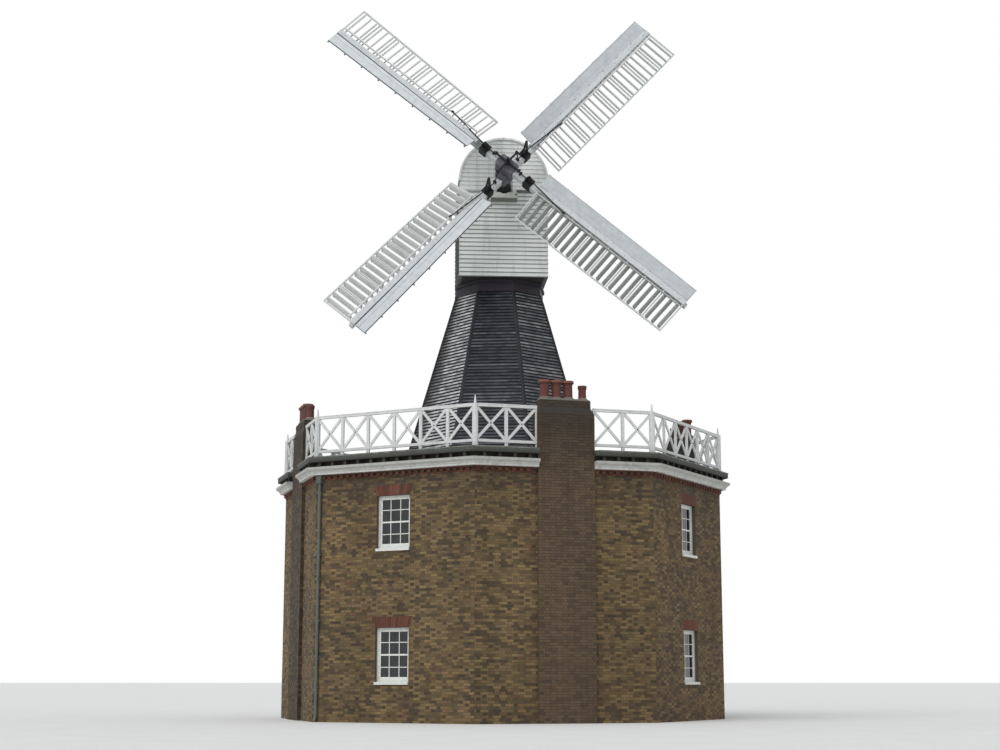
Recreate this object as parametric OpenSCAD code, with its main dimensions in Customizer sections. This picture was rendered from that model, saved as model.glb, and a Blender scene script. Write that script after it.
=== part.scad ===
// Traditional octagonal smock windmill on a two-storey brick base.
// Millimetres, +Z up, origin on the ground on the mill's own vertical axis.
// A corner of the brick base points along -Y.

/* [Brick base] */
// Outer wall faces, measured across the octagon
base_across = 12200; // [11000:50:13400]
// Thickness of the brick walls
wall_t = 343; // [215:1:450]
// Height of the brick walls, up to the gallery deck
wall_h = 7070; // [6400:10:7600]
// Thickness of the ground floor slab
ground_floor_t = 150; // [100:10:300]
// Height of the first floor boards above ground
first_floor_z = 3600; // [3000:50:4000]
// Thickness of the first floor
first_floor_t = 200; // [120:10:300]
// Height of the painted cornice
cornice_h = 210; // [180:10:320]
// Reach of the cornice in front of the wall
cornice_reach = 300; // [200:10:340]
// Gap between the cornice and the deck
cornice_gap = 140; // [60:10:180]

/* [Base windows and doors] */
// Width of a window opening
window_w = 1050; // [800:10:1400]
// Height of a window opening
window_h = 1500; // [1200:10:1700]
// Sill height of the ground floor windows
window_low_z = 1000; // [800:10:1300]
// Sill height of the first floor windows
window_high_z = 4550; // [4200:10:4700]
// Width of the base door opening
door_w = 1100; // [900:10:1400]
// Height of the base door opening
door_h = 2150; // [1950:10:2400]

/* [Chimneys] */
// Width of a chimney stack
stack_w = 1600; // [1500:10:1900]
// Depth of a stack above the deck
stack_d = 443; // [400:1:650]
// How far a stack stands in front of the wall
stack_proud = 100; // [60:10:200]
// Height of the top of a stack
stack_top = 8570; // [8300:10:8800]
// Height of a large chimney pot
pot_h = 560; // [450:10:700]

/* [Gallery] */
// Thickness of the gallery deck
deck_t = 150; // [100:10:200]
// How far the deck reaches in front of the wall
deck_reach = 250; // [150:10:280]
// Length of one side of the railing, corner to corner
rail_side = 5050; // [4950:10:5150]
// Number of crossed bays on a side without a chimney
rail_bays = 6; // [4:2:8]
// Height of the top rail's centre above the deck
rail_h = 1124; // [900:1:1200]
// Height of the bottom rail's centre above the deck
rail_low = 170; // [60:5:200]

/* [Tower] */
// Corner radius of the tower at the deck
tower_r_low = 3040; // [2700:10:3100]
// Corner radius of the tower at the curb
tower_r_top = 1398; // [1300:1:1500]
// Height of the top of the tower walls
tower_top = 12700; // [12400:10:13000]
// Thickness of the framed and boarded tower walls
tower_t = 150; // [80:5:200]
// Width of each leg of a corner board
corner_w = 50; // [40:5:160]

/* [Cap] */
// Direction the cap faces, turned from -Y towards +X
cap_heading = 9.5; // [0:0.5:45]
// Width of the cap
cap_w = 2650; // [2400:10:2800]
// Front wall's distance in front of the tower axis
cap_front_y = 1650; // [1600:10:1900]
// Rear wall's distance behind the tower axis
cap_rear_y = 1500; // [1480:10:2200]
// Height of the cap's lower edge
cap_low = 13070; // [13060:10:13100]
// Height at which the round roof springs
cap_spring = 16000; // [15900:10:16100]
// Height of the ledge across the front
cap_ledge = 15720; // [15600:10:15800]
// Thickness of the framed and boarded cap walls
cap_t = 80; // [60:5:120]

/* [Sails] */
// Height of the middle of the poll end
hub_z = 16000; // [15900:5:16100]
// Poll end's distance in front of the tower axis
hub_forward = 2850; // [2750:10:2950]
// Slope of the windshaft, front end up
shaft_slope = 12.3; // [8:0.1:15]
// Turn of the first sail, counted from the right
sail_turn = 138.4; // [90:0.1:179]
// Distance of each stock's middle from the middle of the poll end
stock_offset = 222; // [200:1:240]
// Length from the windshaft axis to the tip of a stock
stock_r = 6785; // [6725:5:7000]
// Width of a stock at the poll end
stock_w = 250; // [220:5:300]
// Depth of a stock at the poll end
stock_d = 220; // [200:5:260]
// Radius at which the shutter frame starts
heel_r = 1260; // [1200:10:1400]
// Radius at which the shutter frame ends
tip_r = 6705; // [6400:5:6720]
// Width of the shutter frame on the trailing side
shutter_side = 1120; // [1000:10:1200]
// Width of the solid boards on the leading side
leading_side = 510; // [400:10:560]
// Weather angle at the heel
weather_heel = 18.4; // [10:0.1:22]
// Weather angle at the tip
weather_tip = 4.9; // [2:0.1:8]
// Number of bays in a sail
sail_bays = 8; // [6:1:10]
// Number of shutters in a bay
bay_shutters = 3; // [2:1:4]
// How far the shutters stand open
shutter_open = 107; // [0:1:110]

/* [Hidden] */
$fn = 48;

half_step = 22.5;
eighth = tan(half_step);
// Clearance between pieces of one body that meet face to face
touch = 0.05;
base_a = base_across / 2;
deck_top = wall_h + deck_t;
rail_a = rail_side / 2 / eighth;
rail_corner_r = rail_a / cos(half_step);
PLAIN_FACES = [1, 3, 5, 7];
CHIMNEY_FACES = [0, 2, 4, 6];
DOOR_FACE = 3;

// A prism over the plan of one mitred side of an octagonal ring
module mitred_side(apothem, t, h) {
    linear_extrude(h)
        polygon([
            [apothem, touch - apothem * eighth], [apothem, apothem * eighth - touch],
            [apothem - t, (apothem - t) * eighth - touch],
            [apothem - t, touch - (apothem - t) * eighth]
        ]);
}

// A solid octagonal plate, one corner along -Y
module octagon_plate(apothem, h) {
    linear_extrude(h)
        circle(r = apothem / cos(half_step), $fn = 8);
}

// Frame of a base face: X out of the wall, Y along it
module base_face(k) {
    rotate([0, 0, -67.5 + 45 * k]) children();
}

// Frame of a base corner: X out through the corner
module base_corner(k) {
    rotate([0, 0, -90 + 45 * k]) children();
}

// Frame of a tower face: X out of the wall, Y along it
module tower_face(k) {
    rotate([0, 0, -90 + 45 * k]) children();
}

module wall_hole(w, h, z) {
    translate([base_a - 1.5 * wall_t, -w / 2, z])
        cube([2 * wall_t, w, h]);
}

// Sill heights of the windows of a plain face
function window_sills(k) = k == DOOR_FACE ? [window_high_z] : [window_low_z, window_high_z];

module ground_floor() {
    color("#9a948a")
        octagon_plate(base_a - wall_t, ground_floor_t);
}

module base_walls_plain() {
    color("#a98f63")
        for (k = PLAIN_FACES)
            base_face(k)
                difference() {
                    mitred_side(base_a, wall_t, wall_h);
                    for (z = window_sills(k))
                        wall_hole(window_w, window_h, z);
                    if (k == DOOR_FACE)
                        wall_hole(door_w, door_h, ground_floor_t);
                }
}

module base_walls_chimney() {
    color("#a98f63")
        for (k = CHIMNEY_FACES)
            base_face(k)
                mitred_side(base_a, wall_t, wall_h);
}

module first_floor() {
    color("#8c7a5e")
        translate([0, 0, first_floor_z - first_floor_t])
            octagon_plate(base_a - wall_t, first_floor_t);
}

frame_back = 190;
frame_d = 90;
frame_w = 60;
sill_h = 70;
sill_reach = 50;
glass_t = 12;

// Window frame with its projecting sill, in the plane of the wall
module window_frame(z) {
    translate([base_a - frame_back, 0, z])
        union() {
            difference() {
                translate([0, -window_w / 2, 0])
                    cube([frame_d, window_w, window_h]);
                translate([-1, -window_w / 2 + frame_w, sill_h + frame_w])
                    cube([frame_d + 2, window_w - 2 * frame_w, window_h - sill_h - 2 * frame_w]);
            }
            translate([0, -window_w / 2, 0])
                cube([frame_back + sill_reach, window_w, sill_h]);
        }
}

module window_frames() {
    color("#e6e6e0")
        for (k = PLAIN_FACES)
            base_face(k)
                for (z = window_sills(k))
                    window_frame(z);
}

module window_glass() {
    color("#7f8f98", 0.6)
        for (k = PLAIN_FACES)
            base_face(k)
                for (z = window_sills(k))
                    translate([
                        base_a - frame_back + (frame_d - glass_t) / 2,
                        -window_w / 2 + frame_w,
                        z + sill_h + frame_w
                    ])
                        cube([glass_t, window_w - 2 * frame_w, window_h - sill_h - 2 * frame_w]);
}

leaf_t = 45;
post_w = 75;

// Closed door in its frame, X out of the wall, standing on z = 0
module framed_door(w, h, depth) {
    union() {
        difference() {
            translate([0, -w / 2, 0])
                cube([depth, w, h]);
            translate([-1, -w / 2 + post_w, -1])
                cube([depth + 2, w - 2 * post_w, h - post_w + 1]);
        }
        translate([(depth - leaf_t) / 2, -w / 2 + post_w, 0])
            cube([leaf_t, w - 2 * post_w, h - post_w]);
    }
}

module base_door() {
    color("#3f4a44")
        base_face(DOOR_FACE)
            translate([base_a - frame_back, 0, ground_floor_t])
                framed_door(door_w, door_h, frame_d);
}

cornice_top = wall_h - cornice_gap;

// Outline of the cornice, X out from the wall face
module cornice_profile() {
    r = cornice_reach;
    h = cornice_h;
    polygon([
        [0, 0], [0.62 * r, 0], [0.62 * r, 0.22 * h], [0.7 * r, 0.3 * h], [0.74 * r, 0.42 * h],
        [0.84 * r, 0.54 * h], [0.93 * r, 0.6 * h], [r, 0.7 * h], [r, h], [0, h]
    ]);
}

// One length of cornice on a face, from y1 to y2, mitred at the corners
module cornice_length(y1, y2) {
    far = base_a + 2 * cornice_reach;
    intersection() {
        translate([base_a, y2, cornice_top - cornice_h])
            rotate([90, 0, 0])
                linear_extrude(y2 - y1)
                    cornice_profile();
        linear_extrude(wall_h)
            polygon([[0, 0], [far, -far * eighth], [far, far * eighth]]);
    }
}

module cornice() {
    reach = (base_a + cornice_reach) * eighth;
    color("#dcdcd6")
        union() {
            for (k = PLAIN_FACES)
                base_face(k) cornice_length(-reach, reach);
            for (k = CHIMNEY_FACES)
                base_face(k) {
                    cornice_length(-reach, -stack_w / 2);
                    cornice_length(stack_w / 2, reach);
                }
        }
}

pipe_r = 45;
pipe_out = 60;
pipe_from_corner = 160;
pipe_foot = 120;
pipe_head = [140, 160, 230];
pipe_band = [80, 140, 40];
PIPE_BANDS_Z = [900, 2700, 4500, 6200];
shoe_r = pipe_r - 4;
shoe_l = 140;
shoe_tilt = 145;
DOWNPIPE_CORNERS = [3, 7];

// Rain pipe beside a corner, with its head, bands and shoe
module downpipe() {
    top = cornice_top - cornice_h;
    translate([base_a + pipe_out, pipe_from_corner - base_a * eighth, 0])
        union() {
            translate([0, 0, pipe_foot])
                cylinder(r = pipe_r, h = top - pipe_foot);
            translate([-pipe_out, -pipe_head[1] / 2, top - pipe_head[2]])
                cube(pipe_head);
            for (z = PIPE_BANDS_Z)
                translate([-pipe_out, -pipe_band[1] / 2, z])
                    cube(pipe_band);
            translate([0, 0, pipe_foot + pipe_r / 2])
                rotate([0, shoe_tilt, 0])
                    cylinder(r = shoe_r, h = shoe_l);
        }
}

module downpipes() {
    color("#8a8f92")
        for (k = DOWNPIPE_CORNERS)
            base_face(k) downpipe();
}

stack_face = base_a + stack_proud;
shoulder_z = 8210;
shoulder_h = 180;
shoulder_in = 90;

// Stack outline seen from its side, X out of the wall
module stack_side_profile() {
    polygon([
        [base_a, 0], [stack_face, 0], [stack_face, shoulder_z],
        [stack_face - shoulder_in / 2, shoulder_z + shoulder_h],
        [stack_face - shoulder_in / 2, stack_top], [stack_face - stack_d, stack_top],
        [stack_face - stack_d, wall_h], [base_a, wall_h]
    ]);
}

// Stack outline seen from the front
module stack_front_profile() {
    polygon([
        [-stack_w / 2, 0], [stack_w / 2, 0], [stack_w / 2, shoulder_z],
        [stack_w / 2 - shoulder_in, shoulder_z + shoulder_h],
        [stack_w / 2 - shoulder_in, stack_top], [-stack_w / 2 + shoulder_in, stack_top],
        [-stack_w / 2 + shoulder_in, shoulder_z + shoulder_h], [-stack_w / 2, shoulder_z]
    ]);
}

module chimney_stacks() {
    color("#8f6f4c")
        for (k = CHIMNEY_FACES)
            base_face(k)
                intersection() {
                    translate([0, stack_w / 2, 0])
                        rotate([90, 0, 0])
                            linear_extrude(stack_w)
                                stack_side_profile();
                    rotate([90, 0, 90])
                        linear_extrude(2 * base_a)
                            stack_front_profile();
                }
}

pot_pitch = 336;
trio_y = -199;
single_y = 550;
pot_r = 126;
pot_rim = 36;
single_r = 108;
single_rim = 16;
single_drop = 110;
pot_wall = 28;
pot_foot = 18;
pot_foot_h = 45;
pot_slope = 15;
pot_taper = 4;
pot_bead = 6;
pot_bead_h = 20;
pot_rim_h = 65;
pot_rim_round = 8;

// Clay pot: a moulded foot, a tapering shaft with a bead at its neck, and a heavy rim
module chimney_pot(r, h, rim) {
    bore = r - pot_wall;
    bead_z = h - pot_rim_h - 2 * pot_bead_h;
    rotate_extrude()
        polygon([
            [bore, 0], [r + pot_foot, 0], [r + pot_foot, pot_foot_h],
            [r + pot_taper, pot_foot_h + pot_slope], [r - pot_taper, bead_z - pot_slope],
            [r + pot_bead, bead_z], [r + pot_bead, bead_z + pot_bead_h],
            [r + rim, h - pot_rim_h], [r + rim, h - pot_slope], [r + rim - pot_rim_round, h],
            [bore, h]
        ]);
}

module chimney_pots() {
    pot_x = stack_face - shoulder_in / 4 - stack_d / 2;
    color("#a4553c")
        for (k = CHIMNEY_FACES)
            base_face(k)
                translate([pot_x, 0, stack_top]) {
                    for (i = [-1:1])
                        translate([0, trio_y + i * pot_pitch, 0])
                            chimney_pot(pot_r, pot_h, pot_rim);
                    translate([0, single_y, 0])
                        chimney_pot(single_r, pot_h - single_drop, single_rim);
                }
}

module gallery_deck() {
    color("#8b8c88")
        translate([0, 0, wall_h + touch])
            difference() {
                octagon_plate(base_a + deck_reach, deck_t - touch);
                for (k = CHIMNEY_FACES)
                    base_face(k)
                        translate([stack_face - stack_d, -stack_w / 2, -1])
                            cube([2 * stack_d, stack_w, deck_t + 2]);
            }
}

rail_t = 75;
brace_w = 75;
brace_t = 34;
upright_w = 90;
upright_t = 50;
rail_post_a = 75;
short_bays = 2;
rail_gap = rail_h - rail_low;

module rail_bar(y1, y2, z) {
    translate([-rail_t / 2, y1, z - rail_t / 2])
        cube([rail_t, y2 - y1, rail_t]);
}

// One crossed bay between the two rails, from y = 0
module crossed_bay(bay_w) {
    tilt = atan2(rail_gap, bay_w);
    length = sqrt(bay_w * bay_w + rail_gap * rail_gap);
    translate([0, bay_w / 2, deck_top + rail_low + rail_gap / 2])
        for (s = [-1, 1])
            rotate([s * tilt, 0, 0])
                cube([brace_t, length, brace_w], center = true);
}

// A run of railing, cut to y1 and y2, with its bays set out from start to stop
module railing_run(y1, y2, start, stop, bays) {
    bay_w = (stop - start) / bays;
    intersection() {
        union() {
            rail_bar(y1, y2, deck_top + rail_low);
            rail_bar(y1, y2, deck_top + rail_h);
            for (i = [0:bays - 1])
                translate([0, start + i * bay_w, 0])
                    crossed_bay(bay_w);
            for (i = [0:bays])
                translate([-upright_t / 2, start + i * bay_w - upright_w / 2, deck_top])
                    cube([upright_t, upright_w, rail_h]);
        }
        translate([-rail_t, y1, deck_top])
            cube([2 * rail_t, y2 - y1, rail_h + rail_t / 2]);
    }
}

module railing_long() {
    end = rail_side / 2 - rail_post_a - touch;
    color("#ecece8")
        for (k = PLAIN_FACES)
            base_face(k)
                translate([rail_a, 0, 0])
                    railing_run(-end, end, -rail_side / 2, rail_side / 2, rail_bays);
}

module railing_short() {
    end = rail_side / 2 - rail_post_a - touch;
    color("#ecece8")
        for (k = CHIMNEY_FACES)
            base_face(k)
                translate([rail_a, 0, 0]) {
                    railing_run(-end, -stack_w / 2, -rail_side / 2, -stack_w / 2, short_bays);
                    railing_run(stack_w / 2, end, stack_w / 2, rail_side / 2, short_bays);
                }
}

finial_h = 226;
finial_r_low = 40;
finial_r_top = 12;

module railing_posts() {
    color("#ecece8")
        for (k = [0:7])
            base_corner(k)
                translate([rail_corner_r, 0, deck_top]) {
                    linear_extrude(rail_h + rail_t / 2)
                        circle(r = rail_post_a / cos(half_step), $fn = 8);
                    translate([0, 0, rail_h + rail_t / 2])
                        cylinder(r1 = finial_r_low, r2 = finial_r_top, h = finial_h);
                }
}

tower_a_low = tower_r_low * cos(half_step);
tower_a_top = tower_r_top * cos(half_step);
tower_h = tower_top - deck_top;
tower_slope = atan2(tower_a_low - tower_a_top, tower_h);
slant = tower_h / cos(tower_slope);
half_low = tower_a_low * eighth;
half_top = tower_a_top * eighth;

// Frame of the sloping outer face of a tower wall: X out of it, Z up the slope
module tower_slant(k) {
    tower_face(k)
        translate([tower_a_low, 0, deck_top])
            rotate([0, -tower_slope, 0])
                children();
}

tower_door_w = 900;
tower_door_h = 1950;
TOWER_DOOR_FACE = 4;

// One framed and boarded tower wall, mitred to its neighbours
module tower_wall(k) {
    difference() {
        intersection() {
            tower_slant(k)
                translate([-tower_t, -1.2 * half_low, -tower_t])
                    cube([tower_t, 2.4 * half_low, slant + 2 * tower_t]);
            tower_face(k)
                translate([0, 0, deck_top])
                    linear_extrude(tower_h - touch)
                        translate([3 * touch, 0])
                            polygon([
                                [0, 0], [1.2 * tower_a_low, -1.2 * half_low],
                                [1.2 * tower_a_low, 1.2 * half_low]
                            ]);
        }
        if (k == TOWER_DOOR_FACE)
            tower_slant(k)
                translate([-2 * tower_t, -tower_door_w / 2, -tower_t])
                    cube([3 * tower_t, tower_door_w, tower_door_h + tower_t]);
    }
}

module tower_walls_square() {
    color("#26262a")
        for (k = [0, 2, 4, 6])
            tower_wall(k);
}

module tower_walls_diagonal() {
    color("#26262a")
        for (k = [1, 3, 5, 7])
            tower_wall(k);
}

corner_t = 28;

// One leg of a corner board, on the side s of a tower face
module corner_leg(k, s) {
    mitre = corner_t * eighth;
    intersection() {
        tower_slant(k)
            rotate([90, 0, 90])
                linear_extrude(corner_t)
                    polygon([
                        [s * (half_low - corner_w), 0], [s * (half_low + mitre), 0],
                        [s * (half_top + mitre), slant], [s * (half_top - corner_w), slant]
                    ]);
        translate([0, 0, deck_top])
            cylinder(r = 2 * tower_r_low, h = tower_h);
    }
}

module tower_corner_boards() {
    color("#1d1d20")
        for (k = [0:7])
            union() {
                corner_leg(k, 1);
                corner_leg((k + 1) % 8, -1);
            }
}

module tower_door() {
    color("#2b2b2f")
        intersection() {
            tower_slant(TOWER_DOOR_FACE)
                translate([-tower_t, 0, -tower_t])
                    framed_door(tower_door_w, tower_door_h + tower_t, tower_t);
            translate([0, 0, deck_top])
                cylinder(r = 2 * tower_r_low, h = tower_h);
        }
}

curb_bore = 1080;
curb_gap = 10;
curb_h = cap_low - curb_gap - tower_top;
curb_band_h = 100;
curb_band = 50;

// Timber ring on the tower's head that carries the cap
module tower_curb() {
    color("#1d1d20")
        translate([0, 0, tower_top])
            difference() {
                rotate([0, 0, half_step])
                    union() {
                        linear_extrude(curb_h)
                            circle(r = tower_r_top, $fn = 8);
                        translate([0, 0, curb_h - curb_band_h])
                            linear_extrude(curb_band_h)
                                circle(r = tower_r_top + curb_band, $fn = 8);
                    }
                translate([0, 0, -1])
                    cylinder(r = curb_bore, h = curb_h + 2);
            }
}

// Frame of the cap: front towards -Y before the heading turns it
module cap_frame() {
    rotate([0, 0, cap_heading]) children();
}

// Frame of the windshaft: Z out along the shaft, Y up the sail plane
module shaft_frame() {
    cap_frame()
        shaft_line() children();
}

cap_hw = cap_w / 2;
cap_in = cap_hw - cap_t;
floor_t = 120;
plug_r = 1060;
plug_h = 110;
hatch_r = 600;
roof_t = 25;
rafter_t = 60;
gable_proud = 70;
roof_over = 40;
shaft_hole_r = 235;

module cap_floor() {
    color("#6f6a60")
        cap_frame()
            difference() {
                union() {
                    translate([-cap_in, -cap_front_y + cap_t, cap_low])
                        cube([2 * cap_in, cap_front_y + cap_rear_y - 2 * cap_t, floor_t]);
                    translate([0, 0, cap_low - plug_h])
                        cylinder(r = plug_r, h = plug_h);
                }
                translate([0, 0, cap_low - plug_h - 1])
                    cylinder(r = hatch_r, h = plug_h + floor_t + 2);
            }
}

// Outline of a cap end: straight sides from z1 up, round head
module cap_end_outline(z1) {
    translate([-cap_hw, z1])
        square([2 * cap_hw, cap_spring - z1]);
    translate([0, cap_spring])
        intersection() {
            circle(r = cap_hw, $fn = 96);
            translate([-cap_hw, -10])
                square([2 * cap_hw, cap_hw + 20]);
        }
}

// Plate of a cap end from y1 to y2
module cap_end_plate(z1, y1, y2) {
    translate([0, y2, 0])
        rotate([90, 0, 0])
            linear_extrude(y2 - y1)
                cap_end_outline(z1);
}

// The windshaft's line inside the cap's own frame, from the poll end
module shaft_line() {
    translate([0, -hub_forward, hub_z])
        rotate([90 - shaft_slope, 0, 0])
            children();
}

module shaft_hole(r) {
    shaft_line()
        translate([0, 0, -hub_forward])
            cylinder(r = r, h = hub_forward);
}

module cap_front() {
    color("#d9dad4")
        cap_frame()
            difference() {
                union() {
                    cap_end_plate(cap_low, -cap_front_y, -cap_front_y + cap_t);
                    cap_end_plate(cap_ledge, -cap_front_y - gable_proud, -cap_front_y + cap_t);
                }
                shaft_hole(shaft_hole_r);
            }
}

module cap_rear() {
    color("#d9dad4")
        cap_frame()
            union() {
                cap_end_plate(cap_low, cap_rear_y - cap_t, cap_rear_y);
                cap_end_plate(cap_ledge, cap_rear_y - cap_t, cap_rear_y + gable_proud);
            }
}

module cap_side(s) {
    color("#d9dad4")
        cap_frame()
            translate([s > 0 ? cap_in : -cap_hw, -cap_front_y + cap_t, cap_low])
                cube([cap_t, cap_front_y + cap_rear_y - 2 * cap_t, cap_spring - cap_low]);
}

module cap_left_side() { cap_side(-1); }

module cap_right_side() { cap_side(1); }

// Half tube of a given outer and inner radius, from y1 to y2
module half_tube(r_out, r_in, y1, y2) {
    translate([0, y2, cap_spring])
        rotate([90, 0, 0])
            linear_extrude(y2 - y1)
                intersection() {
                    difference() {
                        circle(r = r_out, $fn = 96);
                        circle(r = r_in, $fn = 96);
                    }
                    translate([-r_out, 0])
                        square([2 * r_out, r_out]);
                }
}

module cap_roof() {
    over = gable_proud + roof_over;
    color("#cfd0ca")
        cap_frame()
            union() {
                half_tube(cap_hw + roof_t, cap_hw, -cap_front_y - over, cap_rear_y + over);
                half_tube(cap_hw + 1, cap_hw - rafter_t, -cap_front_y + cap_t, cap_rear_y - cap_t);
            }
}

beam_w = 800;
beam_d = 300;
beam_top = 15600;
beam_h = 220;
beam_toe = 0.35 * beam_h;
shaft_r = 155;
bearing_clear = 5;
bearing_w = 460;
bearing_l = 240;
bearing_drop = 130;
bearing_h = 330;
bearer_drop = 420;
bearer_h = 300;
neck_bearing_y = -cap_front_y + cap_t + 170;
tail_bearing_y = cap_rear_y - cap_t - 200;

// Breast beam: its boarded nose stands out of the cap's front
module breast_beam() {
    color("#b9b8a8")
        cap_frame()
            difference() {
                translate([-beam_w / 2, -cap_front_y, beam_top - beam_h])
                    rotate([90, 0, 90])
                        linear_extrude(beam_w)
                            polygon([
                                [0, 0], [0, beam_h], [-beam_d, beam_h],
                                [-beam_d, beam_toe], [-0.6 * beam_d, 0]
                            ]);
                shaft_hole(shaft_hole_r);
            }
}

// A beam across the inside of the cap with a shaft bearing on its middle
module bearing_beam(y) {
    axis_z = hub_z - (hub_forward + y) * tan(shaft_slope);
    difference() {
        union() {
            translate([-cap_in, y - bearing_l / 2, axis_z - bearer_drop])
                cube([2 * cap_in, bearing_l, bearer_h]);
            translate([-bearing_w / 2, y - bearing_l / 2, axis_z - bearing_drop])
                cube([bearing_w, bearing_l, bearing_h]);
        }
        shaft_line()
            translate([0, 0, -2 * hub_forward])
                cylinder(r = shaft_r + bearing_clear, h = 2 * hub_forward);
    }
}

// Neck and tail bearings of the windshaft, each on its beam
module shaft_bearings() {
    color("#6f6a60")
        cap_frame() {
            bearing_beam(neck_bearing_y);
            bearing_beam(tail_bearing_y);
        }
}

neck_r = 205;
neck_back = 480;
neck_cone = 100;
collar_back = 1010;
collar_r = 215;
collar_t = 40;
collar_cone = 260;
shaft_past_tail = 130;
shaft_tail = (hub_forward + tail_bearing_y + shaft_past_tail) / cos(shaft_slope);

// Windshaft with a collar in front of the neck bearing and a flange for the poll end
module windshaft() {
    color("#232327")
        shaft_frame()
            union() {
                translate([0, 0, -shaft_tail])
                    cylinder(r = shaft_r, h = shaft_tail - neck_back);
                translate([0, 0, -neck_back - neck_cone])
                    cylinder(r1 = shaft_r, r2 = neck_r, h = neck_cone);
                translate([0, 0, -collar_back])
                    cylinder(r = collar_r, h = collar_t);
                translate([0, 0, -collar_back + collar_t])
                    cylinder(r1 = collar_r, r2 = shaft_r, h = collar_cone);
            }
}

box_l = 640;
box_w = 390;
box_half = 400;
box_lap = 60;
box_corner_r = 345;
boss_r = 150;
boss_h = 20;
nose_h = 50;
nose_r_low = 130;
nose_r_top = 100;

// Frame of sail k: X out along the stock, Y to the leading side, Z to the front
module sail_frame_of_reference(k) {
    shaft_frame()
        rotate([0, 0, sail_turn + 90 * k])
            translate([0, 0, (k % 2 == 0 ? 1 : -1) * stock_offset])
                children();
}

// Cast poll end: two crossed boxes, one for each stock
module poll_end() {
    color("#232327")
        shaft_frame()
            union() {
                for (k = [0, 1])
                    rotate([0, 0, sail_turn + 90 * k])
                        difference() {
                            intersection() {
                                translate([-box_l / 2, -box_w / 2, k == 0 ? -box_lap : -box_half])
                                    cube([box_l, box_w, box_half + box_lap]);
                                translate([0, 0, -box_half])
                                    cylinder(r = box_corner_r, h = 2 * box_half);
                            }
                            translate([0, 0, (k == 0 ? 1 : -1) * stock_offset])
                                cube([2 * box_l, stock_w, stock_d], center = true);
                        }
                translate([0, 0, box_half - boss_h])
                    cylinder(r = boss_r, h = 2 * boss_h);
                translate([0, 0, box_half])
                    cylinder(r1 = nose_r_low, r2 = nose_r_top, h = nose_h);
                translate([0, 0, -neck_back])
                    cylinder(r = neck_r, h = neck_back - box_half + boss_h);
            }
}

tip_w = 130;
tip_d = 130;

// Half the width of a stock at a radius
function stock_half(r) = (stock_w + (tip_w - stock_w) * r / stock_r) / 2;

// Stock: full depth at the poll end, tapering to both tips; front face straight
module stock() {
    intersection() {
        linear_extrude(2 * stock_d, center = true)
            polygon([
                [-stock_r, -tip_w / 2], [0, -stock_w / 2], [stock_r, -tip_w / 2],
                [stock_r, tip_w / 2], [0, stock_w / 2], [-stock_r, tip_w / 2]
            ]);
        rotate([90, 0, 0])
            linear_extrude(2 * stock_w, center = true)
                polygon([
                    [-stock_r, stock_d / 2 - tip_d], [0, -stock_d / 2], [stock_r, stock_d / 2 - tip_d],
                    [stock_r, stock_d / 2], [-stock_r, stock_d / 2]
                ]);
    }
}

module outer_stock() {
    color("#d4d7d6")
        sail_frame_of_reference(0) stock();
}

module inner_stock() {
    color("#d4d7d6")
        sail_frame_of_reference(1) stock();
}

bar_z = stock_d / 2 + 65;
bar_t = 40;
whip_w = 160;
whip_d = 120;
whip_heel = 1150;
board_t = 25;
board_gap = 22;
board_in = 100;
board_past_heel = 60;
board_past_tip = 10;
whip_past_tip = 20;
bar_inset = 5;
bar_past_board = 15;
hem_w = 45;
bay_l = (tip_r - heel_r) / sail_bays;
bar_l = shutter_side - bar_inset + leading_side + bar_past_board;

// Weather angle at a radius
function weather(r) =
    weather_heel + (weather_tip - weather_heel) * (r - heel_r) / (tip_r - heel_r);

// A section from (y1, z1) to (y2, z2), extruded along the sail with its weather twist
module weathered(r1, r2, y1, y2, z1, z2) {
    translate([r1, 0, bar_z])
        rotate([weather(r1), 0, 0])
            rotate([0, 90, 0])
                linear_extrude(r2 - r1, twist = weather(r1) - weather(r2), slices = sail_bays)
                    translate([-z2, y1])
                        square([z2 - z1, y2 - y1]);
}

// One straight length of hemlath between two sail bars, at the trailing edge
module hem_length(r1, r2) {
    y = -shutter_side + hem_w / 2;
    a = [r1, y * cos(weather(r1)), bar_z + y * sin(weather(r1))];
    b = [r2, y * cos(weather(r2)), bar_z + y * sin(weather(r2))];
    d = b - a;
    translate(a)
        rotate([0, -asin(d[2] / norm(d)), atan2(d[1], d[0])])
            rotate([weather((r1 + r2) / 2), 0, 0])
                translate([-bar_t / 2, -hem_w / 2, -hem_w / 2])
                    cube([norm(d) + bar_t, hem_w, hem_w]);
}

// Whip, sail bars and hemlath of one sail
module sail_frame() {
    color("#d4d7d6")
        union() {
            translate([whip_heel, -whip_w / 2, stock_d / 2])
                cube([tip_r + whip_past_tip - whip_heel, whip_w, whip_d]);
            for (i = [0:sail_bays]) {
                r = heel_r + i * bay_l;
                translate([r, 0, bar_z])
                    rotate([weather(r), 0, 0])
                        translate([-bar_t / 2, bar_inset - shutter_side, -bar_t / 2])
                            cube([bar_t, bar_l, bar_t]);
            }
            for (i = [0:sail_bays - 1])
                hem_length(heel_r + i * bay_l, heel_r + (i + 1) * bay_l);
        }
}

module sail_frame_1() { sail_frame_of_reference(0) sail_frame(); }

module sail_frame_2() { sail_frame_of_reference(1) sail_frame(); }

module sail_frame_3() { sail_frame_of_reference(2) sail_frame(); }

module sail_frame_4() { sail_frame_of_reference(3) sail_frame(); }

// Solid boards on the leading side, just in front of the sail bars
module leading_board() {
    color("#c4cbce")
        weathered(
            heel_r - board_past_heel, tip_r + board_past_tip,
            board_in, leading_side, board_gap, board_gap + board_t
        );
}

module leading_board_1() { sail_frame_of_reference(0) leading_board(); }

module leading_board_2() { sail_frame_of_reference(1) leading_board(); }

module leading_board_3() { sail_frame_of_reference(2) leading_board(); }

module leading_board_4() { sail_frame_of_reference(3) leading_board(); }

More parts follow.
